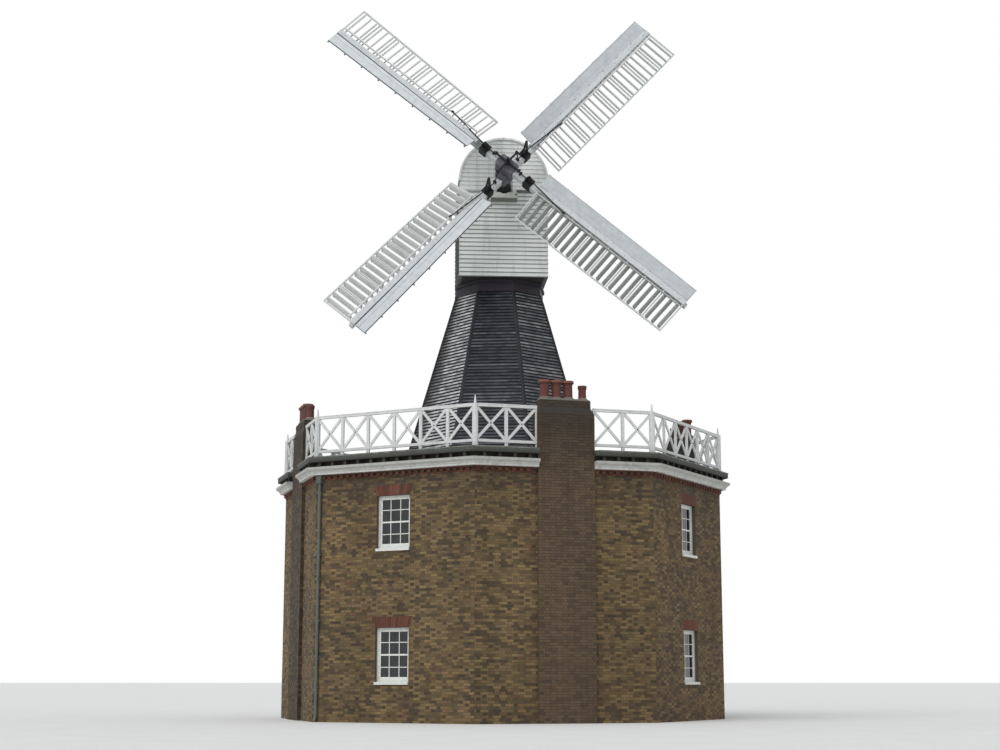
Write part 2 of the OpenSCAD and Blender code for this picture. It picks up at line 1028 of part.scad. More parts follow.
slat_in = 155;
slat_out = shutter_side - hem_w - 12;
slat_chord = 215;
slat_t = 16;
shutter_bar_y = -188;
shutter_bar_w = 30;
shutter_bar_top = bar_z + 96;
shutter_bar_h = 72;
shutter_bar_inset = 60;

// Open shutters of one sail, joined by their shutter bar
module shutter_set() {
    color("#c9c8c2")
        union() {
            for (i = [0:sail_bays * bay_shutters - 1]) {
                r = heel_r + (i + 0.5) * bay_l / bay_shutters;
                translate([r, 0, bar_z])
                    rotate([weather(r), 0, 0])
                        rotate([0, -shutter_open, 0])
                            translate([-slat_chord / 2, -slat_out, -slat_t / 2])
                                cube([slat_chord, slat_out - slat_in, slat_t]);
            }
            translate([
                heel_r + shutter_bar_inset, shutter_bar_y - shutter_bar_w / 2,
                shutter_bar_top - shutter_bar_h
            ])
                cube([tip_r - heel_r - 2 * shutter_bar_inset, shutter_bar_w, shutter_bar_h]);
        }
}

module shutters_1() { sail_frame_of_reference(0) shutter_set(); }

module shutters_2() { sail_frame_of_reference(1) shutter_set(); }

module shutters_3() { sail_frame_of_reference(2) shutter_set(); }

module shutters_4() { sail_frame_of_reference(3) shutter_set(); }

rod_r = 35;
rod_front = 740;
spider_z = 500;
spider_r = 85;
spider_h = 90;
spider_arm = 440;
arm_w = 56;
arm_t = 40;
knuckle_r = 38;
knuckle_h = 110;
link_r = 18;
link_z = stock_d / 2 + 95;
crank_r = 850;
crank_apex = 645;
crank_t = 44;
crank_half = 150;
crank_tip = 35;
crank_leg = 62;
cheek_t = 20;
cheek_half = 130;
cheek_back = 30;
clamp_t = 24;
clamp_gap = 1;
shutter_rod_r = 17;
shutter_rod_gap = 4;
rod_end_r = 2350;
rod_lug = [90, 40, 44];

// Round bar between two points
module bar_between(a, b, r) {
    d = b - a;
    translate(a)
        rotate([0, acos(d[2] / norm(d)), atan2(d[1], d[0])])
            cylinder(r = r, h = norm(d), $fn = 24);
}

// Knuckle of two hinged links, its pin across the sail
module knuckle(p) {
    translate([p[0], knuckle_h / 2, p[2]])
        rotate([90, 0, 0])
            cylinder(r = knuckle_r, h = knuckle_h, $fn = 24);
}

// Open triangular bracket of a bell crank, from z1 on its clamp to its tip at z2
module crank_bracket(z1, z2) {
    taper = (crank_half - crank_tip) / (z2 - z1);
    hole_z = z1 + crank_leg;
    hole_half = crank_half - crank_leg - taper * crank_leg;
    translate([crank_r, crank_t / 2, 0])
        rotate([90, 0, 0])
            linear_extrude(crank_t)
                difference() {
                    polygon([
                        [-crank_half, z1], [crank_half, z1], [crank_tip, z2], [-crank_tip, z2]
                    ]);
                    polygon([
                        [-hole_half, hole_z], [hole_half, hole_z], [0, hole_z + hole_half / taper]
                    ]);
                }
}

// Clamp of a bell crank: a plate on the stock's front and a cheek on either side
module crank_clamp() {
    front = stock_d / 2;
    side = stock_half(crank_r - cheek_half) + clamp_gap;
    translate([crank_r - cheek_half, -side - cheek_t, front + clamp_gap])
        cube([2 * cheek_half, 2 * (side + cheek_t), clamp_t]);
    for (y = [-side - cheek_t, side])
        translate([crank_r - cheek_half, y, -front - cheek_back])
            cube([2 * cheek_half, cheek_t, stock_d + cheek_back + clamp_gap + clamp_t]);
}

// Crank, links and shutter rod of the sail whose stock lies at z_hub from the poll end's middle
module sail_linkage(z_hub) {
    front = stock_d / 2;
    arm_end = [spider_arm, 0, spider_z - z_hub];
    elbow = [spider_arm + 2 * knuckle_r, 0, link_z];
    crank_end = [crank_r - crank_half + crank_leg, 0, link_z];
    crank_bracket(front + clamp_t - clamp_gap, crank_apex - z_hub);
    crank_clamp();
    bar_between(arm_end, elbow, link_r);
    bar_between(elbow, crank_end, link_r);
    for (p = [arm_end, elbow, crank_end])
        knuckle(p);
    bar_between(
        [crank_r + crank_half - crank_leg, 0, front + whip_d + 2 * shutter_rod_r],
        [rod_end_r, shutter_bar_y, shutter_bar_top + shutter_rod_r + shutter_rod_gap],
        shutter_rod_r
    );
    translate([rod_end_r - rod_lug[0], shutter_bar_y - rod_lug[1] / 2, shutter_bar_top])
        cube(rod_lug);
}

// Iron striking gear: rod, spider, links, bell cranks and shutter rods
module striking_gear() {
    color("#1b1b1e")
        union() {
            shaft_frame() {
                translate([0, 0, box_half + nose_h]) {
                    cylinder(r = rod_r, h = rod_front - box_half - nose_h);
                    cylinder(r = spider_r, h = spider_h);
                }
                for (k = [0:3])
                    rotate([0, 0, sail_turn + 90 * k])
                        translate([0, -arm_w / 2, spider_z - arm_t / 2])
                            cube([spider_arm, arm_w, arm_t]);
            }
            for (k = [0:3])
                sail_frame_of_reference(k)
                    sail_linkage((k % 2 == 0 ? 1 : -1) * stock_offset);
        }
}

ground_floor();
base_walls_plain();
base_walls_chimney();
first_floor();
window_frames();
window_glass();
base_door();
cornice();
downpipes();
chimney_stacks();
chimney_pots();
gallery_deck();
railing_long();
railing_short();
railing_posts();
tower_walls_square();
tower_walls_diagonal();
tower_corner_boards();
tower_door();
tower_curb();
cap_floor();
cap_front();
cap_rear();
cap_left_side();
cap_right_side();
cap_roof();
breast_beam();
shaft_bearings();
windshaft();
poll_end();
outer_stock();
inner_stock();
striking_gear();
sail_frame_1();
sail_frame_2();
sail_frame_3();
sail_frame_4();
leading_board_1();
leading_board_2();
leading_board_3();
leading_board_4();
shutters_1();
shutters_2();
shutters_3();
shutters_4();
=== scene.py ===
# Traditional smock windmill: boards, bricks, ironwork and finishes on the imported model.
import math
import random

import bpy
from mathutils import Matrix, Vector


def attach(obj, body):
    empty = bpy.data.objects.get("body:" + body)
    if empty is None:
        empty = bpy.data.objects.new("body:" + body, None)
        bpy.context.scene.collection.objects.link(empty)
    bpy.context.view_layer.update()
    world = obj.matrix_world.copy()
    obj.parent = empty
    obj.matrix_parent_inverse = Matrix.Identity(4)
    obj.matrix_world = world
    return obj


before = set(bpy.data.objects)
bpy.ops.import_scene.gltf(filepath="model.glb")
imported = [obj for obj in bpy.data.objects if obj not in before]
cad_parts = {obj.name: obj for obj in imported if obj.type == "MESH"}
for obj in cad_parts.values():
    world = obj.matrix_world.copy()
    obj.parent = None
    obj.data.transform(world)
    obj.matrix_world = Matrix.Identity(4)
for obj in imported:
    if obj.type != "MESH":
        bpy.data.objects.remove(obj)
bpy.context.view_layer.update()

# Sizes repeated from the part, in metres and degrees
EIGHTH = math.tan(math.radians(22.5))
BASE_A = 6.1
WALL_H = 7.07
DECK_TOP = 7.22
DECK_REACH = 0.25
CORNICE_TOP = 6.93
CORNICE_H = 0.21
STACK_W = 1.6
STACK_D = 0.443
STACK_PROUD = 0.1
STACK_TOP = 8.57
SHOULDER_Z = 8.21
SHOULDER_H = 0.18
SHOULDER_IN = 0.09
WINDOW_W = 1.05
WINDOW_H = 1.5
SILLS = (1.0, 4.55)
DOOR_W = 1.1
DOOR_TOP = 2.3
RAIL_SIDE = 5.05
RAIL_H = 1.124
RAIL_LOW = 0.17
TOWER_TOP = 12.7
TOWER_A_LOW = 3.04 * math.cos(math.radians(22.5))
TOWER_A_TOP = 1.398 * math.cos(math.radians(22.5))
TOWER_SLOPE = math.atan2(TOWER_A_LOW - TOWER_A_TOP, TOWER_TOP - DECK_TOP)
SLANT = (TOWER_TOP - DECK_TOP) / math.cos(TOWER_SLOPE)
CORNER_W = 0.05
CAP_HEADING = math.radians(9.5)
CAP_HW = 1.325
CAP_FRONT = 1.65
CAP_REAR = 1.5
CAP_LOW = 13.07
CAP_SPRING = 16.0
CAP_LEDGE = 15.72
BEAM_TOP = 15.6
HUB_Z = 16.0
HUB_FORWARD = 2.85
SHAFT_SLOPE = math.radians(12.3)
SAIL_TURN = math.radians(138.4)
STOCK_OFFSET = 0.222
STOCK_D = 0.22
STOCK_W = 0.25
STOCK_TIP = 0.13
STOCK_R = 6.785
HEEL_R = 1.26
TIP_R = 6.705
HEEL_TWIST = 18.4
TIP_TWIST = 4.9
SHUTTER_SIDE = 1.12
LEADING_SIDE = 0.51
BAR_Z = STOCK_D / 2 + 0.065
SAIL_BAYS = 8
BAY_SHUTTERS = 3
BAY_L = (TIP_R - HEEL_R) / SAIL_BAYS
PLAIN_FACES = (1, 3, 5, 7)
CHIMNEY_FACES = (0, 2, 4, 6)
DOOR_FACE = 3
TOWER_DOOR_FACE = 4
# How far the backs of the door's and the windows' frames lie in from the wall's face
FRAME_BACK = 0.19


def turned(angle, axis="Z"):
    return Matrix.Rotation(angle, 4, axis)


def shifted(x, y, z):
    return Matrix.Translation((x, y, z))


def base_face(k):
    """X out of a brick wall, Y along it."""
    return turned(math.radians(-67.5 + 45 * k))


def tower_slant(k):
    """X out of a leaning tower wall, Z up its slope."""
    face = turned(math.radians(-90 + 45 * k))
    return face @ shifted(TOWER_A_LOW, 0, DECK_TOP) @ turned(-TOWER_SLOPE, "Y")


CAP = turned(CAP_HEADING)
SHAFT = CAP @ shifted(0, -HUB_FORWARD, HUB_Z) @ turned(math.pi / 2 - SHAFT_SLOPE, "X")


def sail(k):
    """X out along a stock, Y to the leading side, Z to the front."""
    side = 1 if k % 2 == 0 else -1
    return SHAFT @ turned(SAIL_TURN + k * math.pi / 2) @ shifted(0, 0, side * STOCK_OFFSET)


def weather(r):
    """Twist of a sail at a radius."""
    return math.radians(HEEL_TWIST + (TIP_TWIST - HEEL_TWIST) * (r - HEEL_R) / (TIP_R - HEEL_R))


def circle(radius, height, sides):
    """Points round a level circle."""
    turns = [2 * math.pi * i / sides for i in range(sides)]
    return [Vector((radius * math.cos(a), radius * math.sin(a), height)) for a in turns]


def placed(name, data):
    """A new object in the scene."""
    made = bpy.data.objects.new(name, data)
    bpy.context.scene.collection.objects.link(made)
    return made


class Batch:
    """Like parts of one finish, gathered into one mesh."""

    def __init__(self, seed):
        self.points, self.faces, self.tones = [], [], []
        self.chance = random.Random(seed)

    def vary(self, amount):
        return self.chance.uniform(-amount, amount)

    def loft(self, place, rings, tone=None, open_start=False, strips=None):
        """Joins a row of equal rings into one solid; strips has a row of tones for each step."""
        tone = self.chance.random() if tone is None else tone
        rings = [[place @ Vector(point) for point in ring] for ring in rings]
        size = len(rings[0])
        strips = strips or [[tone] * size] * (len(rings) - 1)
        centre = sum(rings[0], Vector()) / size
        lean = sum(
            ((rings[0][i] - centre).cross(rings[0][i - size + 1] - centre) for i in range(size)),
            Vector(),
        )
        if lean.dot(sum(rings[-1], Vector()) / size - centre) < 0:
            rings = [ring[::-1] for ring in rings]
            strips = [[row[(size - 2 - i) % size] for i in range(size)] for row in strips]
        start = len(self.points)
        for ring in rings:
            self.points.extend(ring)
        last = start + size * (len(rings) - 1)
        made = [tuple(range(last, last + size))]
        if not open_start:
            made.append(tuple(range(start + size - 1, start - 1, -1)))
        self.tones += [tone] * len(made)
        for a, row in zip(range(start, last, size), strips):
            for i in range(size):
                j = (i + 1) % size
                made.append((a + i, a + j, a + size + j, a + size + i))
            self.tones += row
        self.faces += made

    def prism(self, place, axis, ends, outline, tone=None, open_start=False):
        """A straight piece along an axis, its outline given in the two other coordinates."""
        rings = [[(*pair[:axis], end, *pair[axis:]) for pair in outline] for end in ends]
        self.loft(place, rings, tone, open_start)

    def block(self, place, low, high, tone=None, open_start=False):
        """A square-edged piece between two corners, its rings along X."""
        (x0, y0, z0), (x1, y1, z1) = low, high
        outline = ((y0, z0), (y1, z0), (y1, z1), (y0, z1))
        self.prism(place, 0, (x0, x1), outline, tone, open_start)

    def rod(self, place, start, end, radius, end_radius=None, sides=12):
        """A round bar between two points."""
        start, end = Vector(start), Vector(end)
        spin = (end - start).to_track_quat("Z", "Y").to_matrix()
        rings = []
        for centre, r in ((start, radius), (end, radius if end_radius is None else end_radius)):
            rings.append([centre + spin @ p for p in circle(r, 0, sides)])
        self.loft(place, rings)

    def bolt(self, place, at, out, size):
        """A washer and a six-sided head on it."""
        at, out = Vector(at), Vector(out).normalized()
        self.rod(place, at, at + out * size * 0.2, size * 0.95, sides=12)
        self.rod(place, at + out * size * 0.2, at + out * size * 0.75, size * 0.6, size * 0.52, 6)

    def turned_piece(self, place, profile):
        """A turned form from (radius, height) pairs."""
        self.loft(place, [circle(r, z, 20) for r, z in profile])

    def make(self, name, body, finish, slot, smooth=False):
        mesh = bpy.data.meshes.new(name)
        mesh.from_pydata(self.points, [], self.faces)
        mesh.attributes.new("tone", "FLOAT", "FACE").data.foreach_set("value", self.tones)
        mesh.materials.append(finish)
        if smooth:
            mesh.shade_smooth()
            mesh.set_sharp_from_angle(angle=math.radians(35))
        piece = placed(name, mesh)
        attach(piece, body)
        return piece


# Finishes


def paint(code):
    """An sRGB hex colour as the linear colour that a shader takes."""
    parts = [int(code[i:i + 2], 16) / 255 for i in (1, 3, 5)]
    return [c / 12.92 if c <= 0.04045 else ((c + 0.055) / 1.055) ** 2.4 for c in parts] + [1.0]


def put(tree, kind, inputs=(), stops=(), **settings):
    """Adds a node with its settings, values, incoming links and colour stops.

    The inputs are in order or by name. Each takes a value, a socket to link from, or a node to
    link from by its first output.
    """
    made = tree.nodes.new("ShaderNode" + kind)
    for key, value in settings.items():
        setattr(made, key, value)
    for key, value in inputs.items() if isinstance(inputs, dict) else enumerate(inputs):
        if isinstance(value, bpy.types.Node):
            value = value.outputs[0]
        if isinstance(value, bpy.types.NodeSocket):
            tree.links.new(value, made.inputs[key])
        else:
            made.inputs[key].default_value = value
    for i, (position, code) in enumerate(stops):
        band = made.color_ramp.elements
        spot = band[i] if i < len(band) else band.new(1.0)
        spot.position = position
        spot.color = paint(code)
    return made


def new_finish(name):
    """A material with an empty tree, and the place on the piece that its patterns follow."""
    finish = bpy.data.materials.new(name)
    finish.use_nodes = True
    tree = finish.node_tree
    tree.nodes.clear()
    return finish, tree, put(tree, "TexCoord").outputs["Object"]


def surfaced(finish, colour, height, strength, depth, values):
    """Ends a finish with its surface, in a relief that follows a pattern's height."""
    tree = finish.node_tree
    relief = put(tree, "Bump", {"Strength": strength, "Distance": depth, "Height": height})
    surface = put(tree, "BsdfPrincipled", {"Base Color": colour, "Normal": relief, **values})
    put(tree, "OutputMaterial", {"Surface": surface})
    return finish


# Settings of a Mix node that lays a colour on another, and of one that darkens or brightens it
LAID_ON = {"data_type": "RGBA"}
SHADED = {"data_type": "RGBA", "blend_type": "MULTIPLY"}


def timber(name, tones, stain_and_shade_code, rough, grain, bump=0.0006, streaks=0.5, share=0.55,
           shine=0.5, grime_and_shade=None, worn=None, broken=None, darker_round=None):
    """Painted or tarred softwood: boards differ a little, grain tells through, rain has streaked it.

    darkening by height is the height where it is clear, the height where it is darkest, and how much:
    painted shade under the breast beam and the gallery's framing, and darker towards the top of the
    cornice;
    worn is a middle, a radius and the colour that the paint has worn to round it;
    broken is how dark and how bright the short lengths of a board are, which break up its painted sheen;
    darkening round a direction is a direction from the tower's axis, how near to it the darkening starts,
    as a cosine, and how dark the boards are there.
    """
    finish, tree, where = new_finish(name)
    tone = put(tree, "Attribute", attribute_name="tone").outputs["Fac"]
    run = put(tree, "Mapping", {"Scale": grain, "Vector": where})
    fibres = put(tree, "TexNoise", {"Scale": 1.0, "Detail": 5.0, "Roughness": 0.65, "Vector": run})
    patches = put(tree, "TexNoise", {"Scale": 1.6, "Detail": 4.0, "Vector": where})
    spread = put(tree, "Math", (tone, share), operation="MULTIPLY")
    spread = put(tree, "Math", (patches, 1 - share, spread), operation="MULTIPLY_ADD")
    colour = put(tree, "ValToRGB", {"Fac": spread},
                 ((0.15, tones[0]), (0.45, tones[1]), (0.8, tones[2])))
    falls = put(tree, "Mapping", {"Scale": (5.0, 5.0, 0.5), "Vector": where})
    rain = put(tree, "TexNoise", {"Scale": 1.0, "Detail": 6.0, "Roughness": 0.7, "Vector": falls})
    rain = put(tree, "MapRange", (rain, 0.5, 0.75, 0.0, streaks))
    stains_and_shade, shades = [(rain, stain_and_shade_code)], []
    # Darker towards a height in the stain colour: painted shade under the breast beam and the gallery's
    # framing, and darker towards the cornice's top
    if grime_and_shade:
        clear_z, dark_z, amount = grime_and_shade
        height = put(tree, "SeparateXYZ", {0: where}).outputs[2]
        height_dark = put(tree, "MapRange", (height, clear_z, dark_z, 0.0, amount))
        stains_and_shade.append((height_dark, stain_and_shade_code))
    if worn:
        middle, radius, bare = worn
        away = put(tree, "VectorMath", (where, middle), operation="DISTANCE").outputs["Value"]
        away = put(tree, "Math", (patches, 0.5, away), operation="MULTIPLY_ADD")
        rubbed = put(tree, "MapRange", (away, radius + 0.45, radius, 0.0, 0.9))
        stains_and_shade.append((rubbed, bare))
    # Short lengths along each board, darker and brighter, that break up the painted sheen
    if broken:
        each_board = put(tree, "Math", (tone, 90.0), operation="MULTIPLY")
        along = put(tree, "Mapping", {"Scale": (3.4, 3.4, 0.0), "Vector": where})
        lengths = put(tree, "TexNoise", {"Scale": 1.0, "Detail": 1.0, "Vector": along, "W": each_board},
                      noise_dimensions="4D")
        shades.append(put(tree, "MapRange", (lengths, 0.36, 0.62, broken[0], broken[1])))
    # Darker round a direction from the tower's axis
    if darker_round:
        dark_dir, start, darkest = darker_round
        level = put(tree, "VectorMath", (where, (1.0, 1.0, 0.0)), operation="MULTIPLY")
        level = put(tree, "VectorMath", {0: level}, operation="NORMALIZE")
        nearness = put(tree, "VectorMath", (level, dark_dir), operation="DOT_PRODUCT").outputs["Value"]
        shades.append(put(tree, "MapRange", (nearness, start, 1.0, 1.0, darkest)))
    shades.append(put(tree, "MapRange", (fibres, 0.3, 0.7, 0.86, 1.06)))
    for mask, code in stains_and_shade:
        colour = put(tree, "Mix", {0: mask, 6: colour, 7: paint(code)}, **LAID_ON).outputs[2]
    for shade in shades:
        colour = put(tree, "Mix", {0: 1.0, 6: colour, 7: shade}, **SHADED).outputs[2]
    gloss = put(tree, "MapRange", (patches, 0.3, 0.7, rough[0], rough[1]))
    return surfaced(finish, colour, fibres, 0.6, bump,
                    {"IOR": 1.5, "Specular IOR Level": shine, "Roughness": gloss})


def masonry(name, tones, top_dark_code, top_dark_from, rough=(0.8, 0.95), grit=140.0):
    """Fired clay or mortar: a colour for each brick, gritty face, darker above a height: soot on the
    chimneys and pots, and on the base walls towards the cornice.
    """
    finish, tree, where = new_finish(name)
    tone = put(tree, "Attribute", attribute_name="tone").outputs["Fac"]
    blotch = put(tree, "TexNoise", {"Scale": 1.3, "Detail": 5.0, "Roughness": 0.6, "Vector": where})
    # The real grit is 1 to 2 mm; drawn at 4.5 to 17 mm so that it shows
    fleck = put(tree, "TexNoise", {"Scale": grit, "Detail": 3.0, "Vector": where})
    spread = put(tree, "Math", (tone, 0.6), operation="MULTIPLY")
    spread = put(tree, "Math", (blotch, 0.4, spread), operation="MULTIPLY_ADD")
    last = len(tones) - 1
    colour = put(tree, "ValToRGB", {"Fac": spread},
                 [(0.12 + 0.72 * i / last, code) for i, code in enumerate(tones)])
    falls = put(tree, "Mapping", {"Scale": (0.9, 0.9, 0.22), "Vector": where})
    rain = put(tree, "TexNoise", {"Scale": 1.0, "Detail": 6.0, "Roughness": 0.6, "Vector": falls})
    for pattern, dark, bright in ((fleck, 0.82, 1.1), (rain, 0.72, 1.16)):
        shade = put(tree, "MapRange", (pattern, 0.3, 0.7, dark, bright))
        colour = put(tree, "Mix", {0: 1.0, 6: colour, 7: shade}, **SHADED).outputs[2]
    # Darker above a height: soot on the chimneys and pots, and on the base walls darker towards the
    # cornice
    height = put(tree, "SeparateXYZ", {0: where}).outputs[2]
    height = put(tree, "Math", (blotch, 0.9, height), operation="MULTIPLY_ADD")
    top_dark_mask = put(tree, "MapRange", (height, top_dark_from, top_dark_from + 1.6, 0.12, 0.72))
    colour = put(tree, "Mix", {0: top_dark_mask, 6: colour, 7: paint(top_dark_code)}, **LAID_ON).outputs[2]
    gloss = put(tree, "MapRange", (blotch, 0.3, 0.7, rough[0], rough[1]))
    return surfaced(finish, colour, fleck, 0.7, 0.0012, {"IOR": 1.5, "Roughness": gloss})


def iron(name, tones, metallic, rough, shine=0.5):
    """Cast or wrought iron under old paint: dull gloss, pitted, brown at the pits."""
    finish, tree, where = new_finish(name)
    # Real pits are 1 to 3 mm; drawn at about 20 mm so that they show
    skin = put(tree, "TexNoise", {"Scale": 45.0, "Detail": 6.0, "Roughness": 0.7, "Vector": where})
    patch = put(tree, "TexNoise", {"Scale": 4.0, "Detail": 4.0, "Vector": where})
    colour = put(tree, "ValToRGB", {"Fac": patch},
                 ((0.35, tones[0]), (0.6, tones[1]), (0.78, tones[2])))
    gloss = put(tree, "MapRange", (skin, 0.35, 0.7, rough[0], rough[1]))
    return surfaced(finish, colour, skin, 0.5, 0.0008,
                    {"Metallic": metallic, "Specular IOR Level": shine, "Roughness": gloss})


def painted_canvas(name, tones):
    """Flax canvas filled with oil paint: fine square weave, matt, greyed where water lies."""
    # The real thread is about 0.8 mm; drawn at twice that so that it shows
    thread = 0.0016
    finish, tree, where = new_finish(name)
    weave = put(tree, "TexVoronoi", {"Scale": 1 / thread, "Randomness": 0.25, "Vector": where})
    damp = put(tree, "TexNoise", {"Scale": 2.6, "Detail": 5.0, "Vector": where})
    colour = put(tree, "ValToRGB", {"Fac": damp},
                 ((0.32, tones[0]), (0.5, tones[1]), (0.7, tones[2])))
    return surfaced(finish, colour, weave, 0.15, 0.0003, {"Roughness": 0.75, "IOR": 1.45})


def window_pane(name):
    """Old crown glass: slightly wavy, a dark room behind it and the sky on its face."""
    finish, tree, where = new_finish(name)
    # One wave in about 300 mm
    ripple = put(tree, "TexNoise", {"Scale": 3.0, "Detail": 1.0, "Vector": where})
    film = put(tree, "MapRange", (ripple, 0.3, 0.7, 0.02, 0.07))
    depth = put(tree, "ValToRGB", {"Fac": ripple}, ((0.35, "#1d2224"), (0.65, "#2b3133")))
    return surfaced(finish, depth, ripple, 0.1, 0.002,
                    {"IOR": 1.52, "Transmission Weight": 0.25, "Roughness": film})


# Waves of grain to the metre along X, Y and Z. Softwood has a growth ring each 3 mm or so; drawn
# at 14 mm on level boards and 17 mm on upright ones so that it shows
LEVEL = (2.2, 2.2, 70.0)
UPRIGHT = (60.0, 60.0, 2.0)
# Under thick paint no grain shows, only unevenness about 80 mm across
EVEN = (12.0, 12.0, 12.0)

# Coal tar on softwood: black, and darker round the left-hand corner; its pale grey is the weather's
# bleaching with painted light, palest as a painted sheen of the sky on the left-hand side
tarred_boards = timber("tarred_weatherboard", ("#141418", "#3f424a", "#c7c9ca"), "#46484e",
                       (0.4, 0.6), LEVEL, bump=0.0008, streaks=0.25, share=0.85, shine=0.25,
                       broken=(0.5, 1.35), darker_round=((-0.924, -0.383, 0.0), 0.955, 0.06))
# The same tar on planed boards: an even black with a dull gloss
tarred_trim = timber("tarred_corner_board", ("#15151a", "#1c1d22", "#28292f"), "#303237",
                     (0.4, 0.55), UPRIGHT, bump=0.0005, streaks=0.3, shine=0.25)
# Tarred oak: brown-black, and duller
tarred_curb = timber("tarred_oak_curb", ("#322e35", "#3a363d", "#454147"), "#464246",
                     (0.5, 0.65), LEVEL, streaks=0.2, shine=0.25)
# White lead paint gone chalky, with a green-grey bloom where rain runs; its darkest tone is painted shade
# on the boards' butts and under their laps
cap_paint = timber("chalky_white_boards", ("#70746e", "#cfd2ce", "#f8faf7"), "#adb3a8",
                   (0.55, 0.75), LEVEL, bump=0.0007, streaks=0.6, share=0.85)
# The same paint on the round roof, washed by rain: an even grey-white
roof_paint = timber("roof_boards_grey_white", ("#b4b8b4", "#c6c9c6", "#d3d6d2"), "#8f978c",
                    (0.6, 0.8), (60.0, 2.0, 60.0), bump=0.0008, streaks=0.6)
# The beam's underside is drawn green-black: painted shade where it faces down
beam_paint = timber("beam_paint_green_white", ("#d9dccf", "#e4e7db", "#edefe6"), "#454a41",
                    (0.55, 0.75), (2.0, 40.0, 40.0), streaks=0.15, grime_and_shade=(15.45, 15.424, 0.8))
# Oil gloss on planed softwood: even white, half its gloss gone
rail_paint = timber("gallery_white_gloss", ("#d6d8d6", "#dfe1df", "#e8eae8"), "#b0b4ac",
                    (0.4, 0.6), EVEN, bump=0.0004, streaks=0.5)
# Stone-white oil paint on moulded boards, darker towards its top under the deck
cornice_paint = timber("cornice_stone_white", ("#d2d3ce", "#dbdcd7", "#e6e6e2"), "#85857c",
                       (0.55, 0.75), EVEN, bump=0.0005, streaks=0.7,
                       grime_and_shade=(CORNICE_TOP - CORNICE_H, CORNICE_TOP, 0.6))
# Brushed white paint, fresher than the rest, with a soft gloss
sash_paint = timber("sash_white_paint", ("#dfe0da", "#e6e7e2", "#edeee9"), "#b7b8ae",
                    (0.35, 0.5), EVEN, bump=0.0003, streaks=0.35)
# Green-black paint on upright boards, paler in streaks
door_paint = timber("door_green_black_paint", ("#2f3a35", "#36413b", "#3f4a44"), "#566059",
                    (0.35, 0.5), UPRIGHT, bump=0.0006, streaks=0.3)
# Bare softwood planks, silvered by sun and rain: grey, rough and dull
deck_timber = timber("grey_weathered_deck", ("#5f615d", "#73756f", "#888a84"), "#4d4f49",
                     (0.75, 0.9), (30.0, 30.0, 30.0), bump=0.0012, streaks=0.6)
# The framing under the planks: grey, drawn near black towards its underside as painted shade
deck_beams = timber("gallery_framing_timber", ("#595b55", "#676962", "#75776f"), "#2d2c29",
                    (0.75, 0.9), EVEN, bump=0.001, streaks=0.6,
                    grime_and_shade=(DECK_TOP - 0.02, WALL_H, 0.9))
# Old sawn timber in the recess under the deck and under the cap floor: a dark stain, drawn near black and
# dull as painted shade
joist_stain_and_shade = timber("joist_stain_and_painted_shade", ("#2d2b28", "#383632", "#45433e"), "#242220",
                      (0.75, 0.9), EVEN, bump=0.001, streaks=0.5)
# Planed deal indoors: yellow-brown, with a slight sheen
inside_boards = timber("deal_floorboards", ("#7d6a4c", "#8c7856", "#998562"), "#5d4e38",
                       (0.6, 0.8), (3.0, 50.0, 50.0), streaks=0.3)
# White oil paint on planed softwood: bright, with grey streaks
sail_paint = timber("sail_white_grey_paint", ("#d2d5d6", "#dadddd", "#e4e6e6"), "#a8acab",
                    (0.45, 0.65), EVEN, bump=0.0005, streaks=0.4)
# Thinner paint on the shutters' sticks: grey to white, with wear and with each sail's painted light and
# shade
shutter_paint = timber("shutter_frame_paint", ("#a9acab", "#c8cbcb", "#e6e8e8"), "#9fa3a2",
                       (0.45, 0.65), EVEN, bump=0.0004, streaks=0.3, share=0.8)
# The stocks' white paint, rubbed to grey wood round one sail's heel
stock_paint = timber("stock_paint_worn_at_heel", ("#ced1d2", "#d8dbdb", "#e1e3e3"), "#a4a8a7",
                     (0.45, 0.65), EVEN, bump=0.0006, streaks=0.4,
                     worn=(sail(0) @ Vector((1.05, 0, 0)), 0.35, "#767e79"))
# Pale blue-grey paint on thin planed boards: smooth and even
lead_paint = timber("leading_board_pale_blue_grey", ("#b4b9bb", "#ccd1d3", "#e7eaec"), "#a9afb1",
                    (0.4, 0.6), (6.0, 6.0, 6.0), bump=0.0002, streaks=0.2, share=0.85)
# Black strips in the seam beside the whip and on the leading edge's batten of two sails: painted shade,
# with a dull gloss
seam_shade = timber("painted_seam_shade", ("#1d1e20", "#26272a", "#323336"), "#2b2c2f",
                    (0.5, 0.7), EVEN, bump=0.0004, streaks=0.2, shine=0.3)
# London stock bricks: mud and ash fired yellow-brown, many bricks scorched; drawn darker overall as
# painted shade of a wall in dull light, and darker towards the cornice
stock_brick = masonry("yellow_stock_brick",
                      ("#3d3124", "#594830", "#756040", "#8f774f", "#6c4c38"), "#332d26", 6.0)
# Lime mortar: grey-brown, sandy and matt
lime_mortar = masonry("lime_mortar", ("#5d564a", "#6b6356", "#7a7163"), "#37322c", 6.0, grit=220.0)
# Soft red bricks rubbed to shape: fine and matt, dulled with brown-black, most towards the cornice
red_brick = masonry("red_rubbed_brick", ("#523024", "#683f2f", "#7b4c3a"), "#33261f", 6.9)
# Stock bricks and their mortar under chimney soot: brown-black, darkest at the top
sooty_brick = masonry("sooty_stack_brick",
                      ("#2a231d", "#4a3c2d", "#6b5841", "#574434"), "#28231f", 6.8)
sooty_mortar = masonry("sooty_stack_mortar", ("#443e36", "#524b41", "#61594d"), "#2f2b27", 6.8,
                       grit=220.0)
# Trowelled cement, weathered: grey and rough
cement = masonry("cement_flaunching", ("#77736a", "#878378", "#959086"), "#56524b", 8.4, grit=90.0)
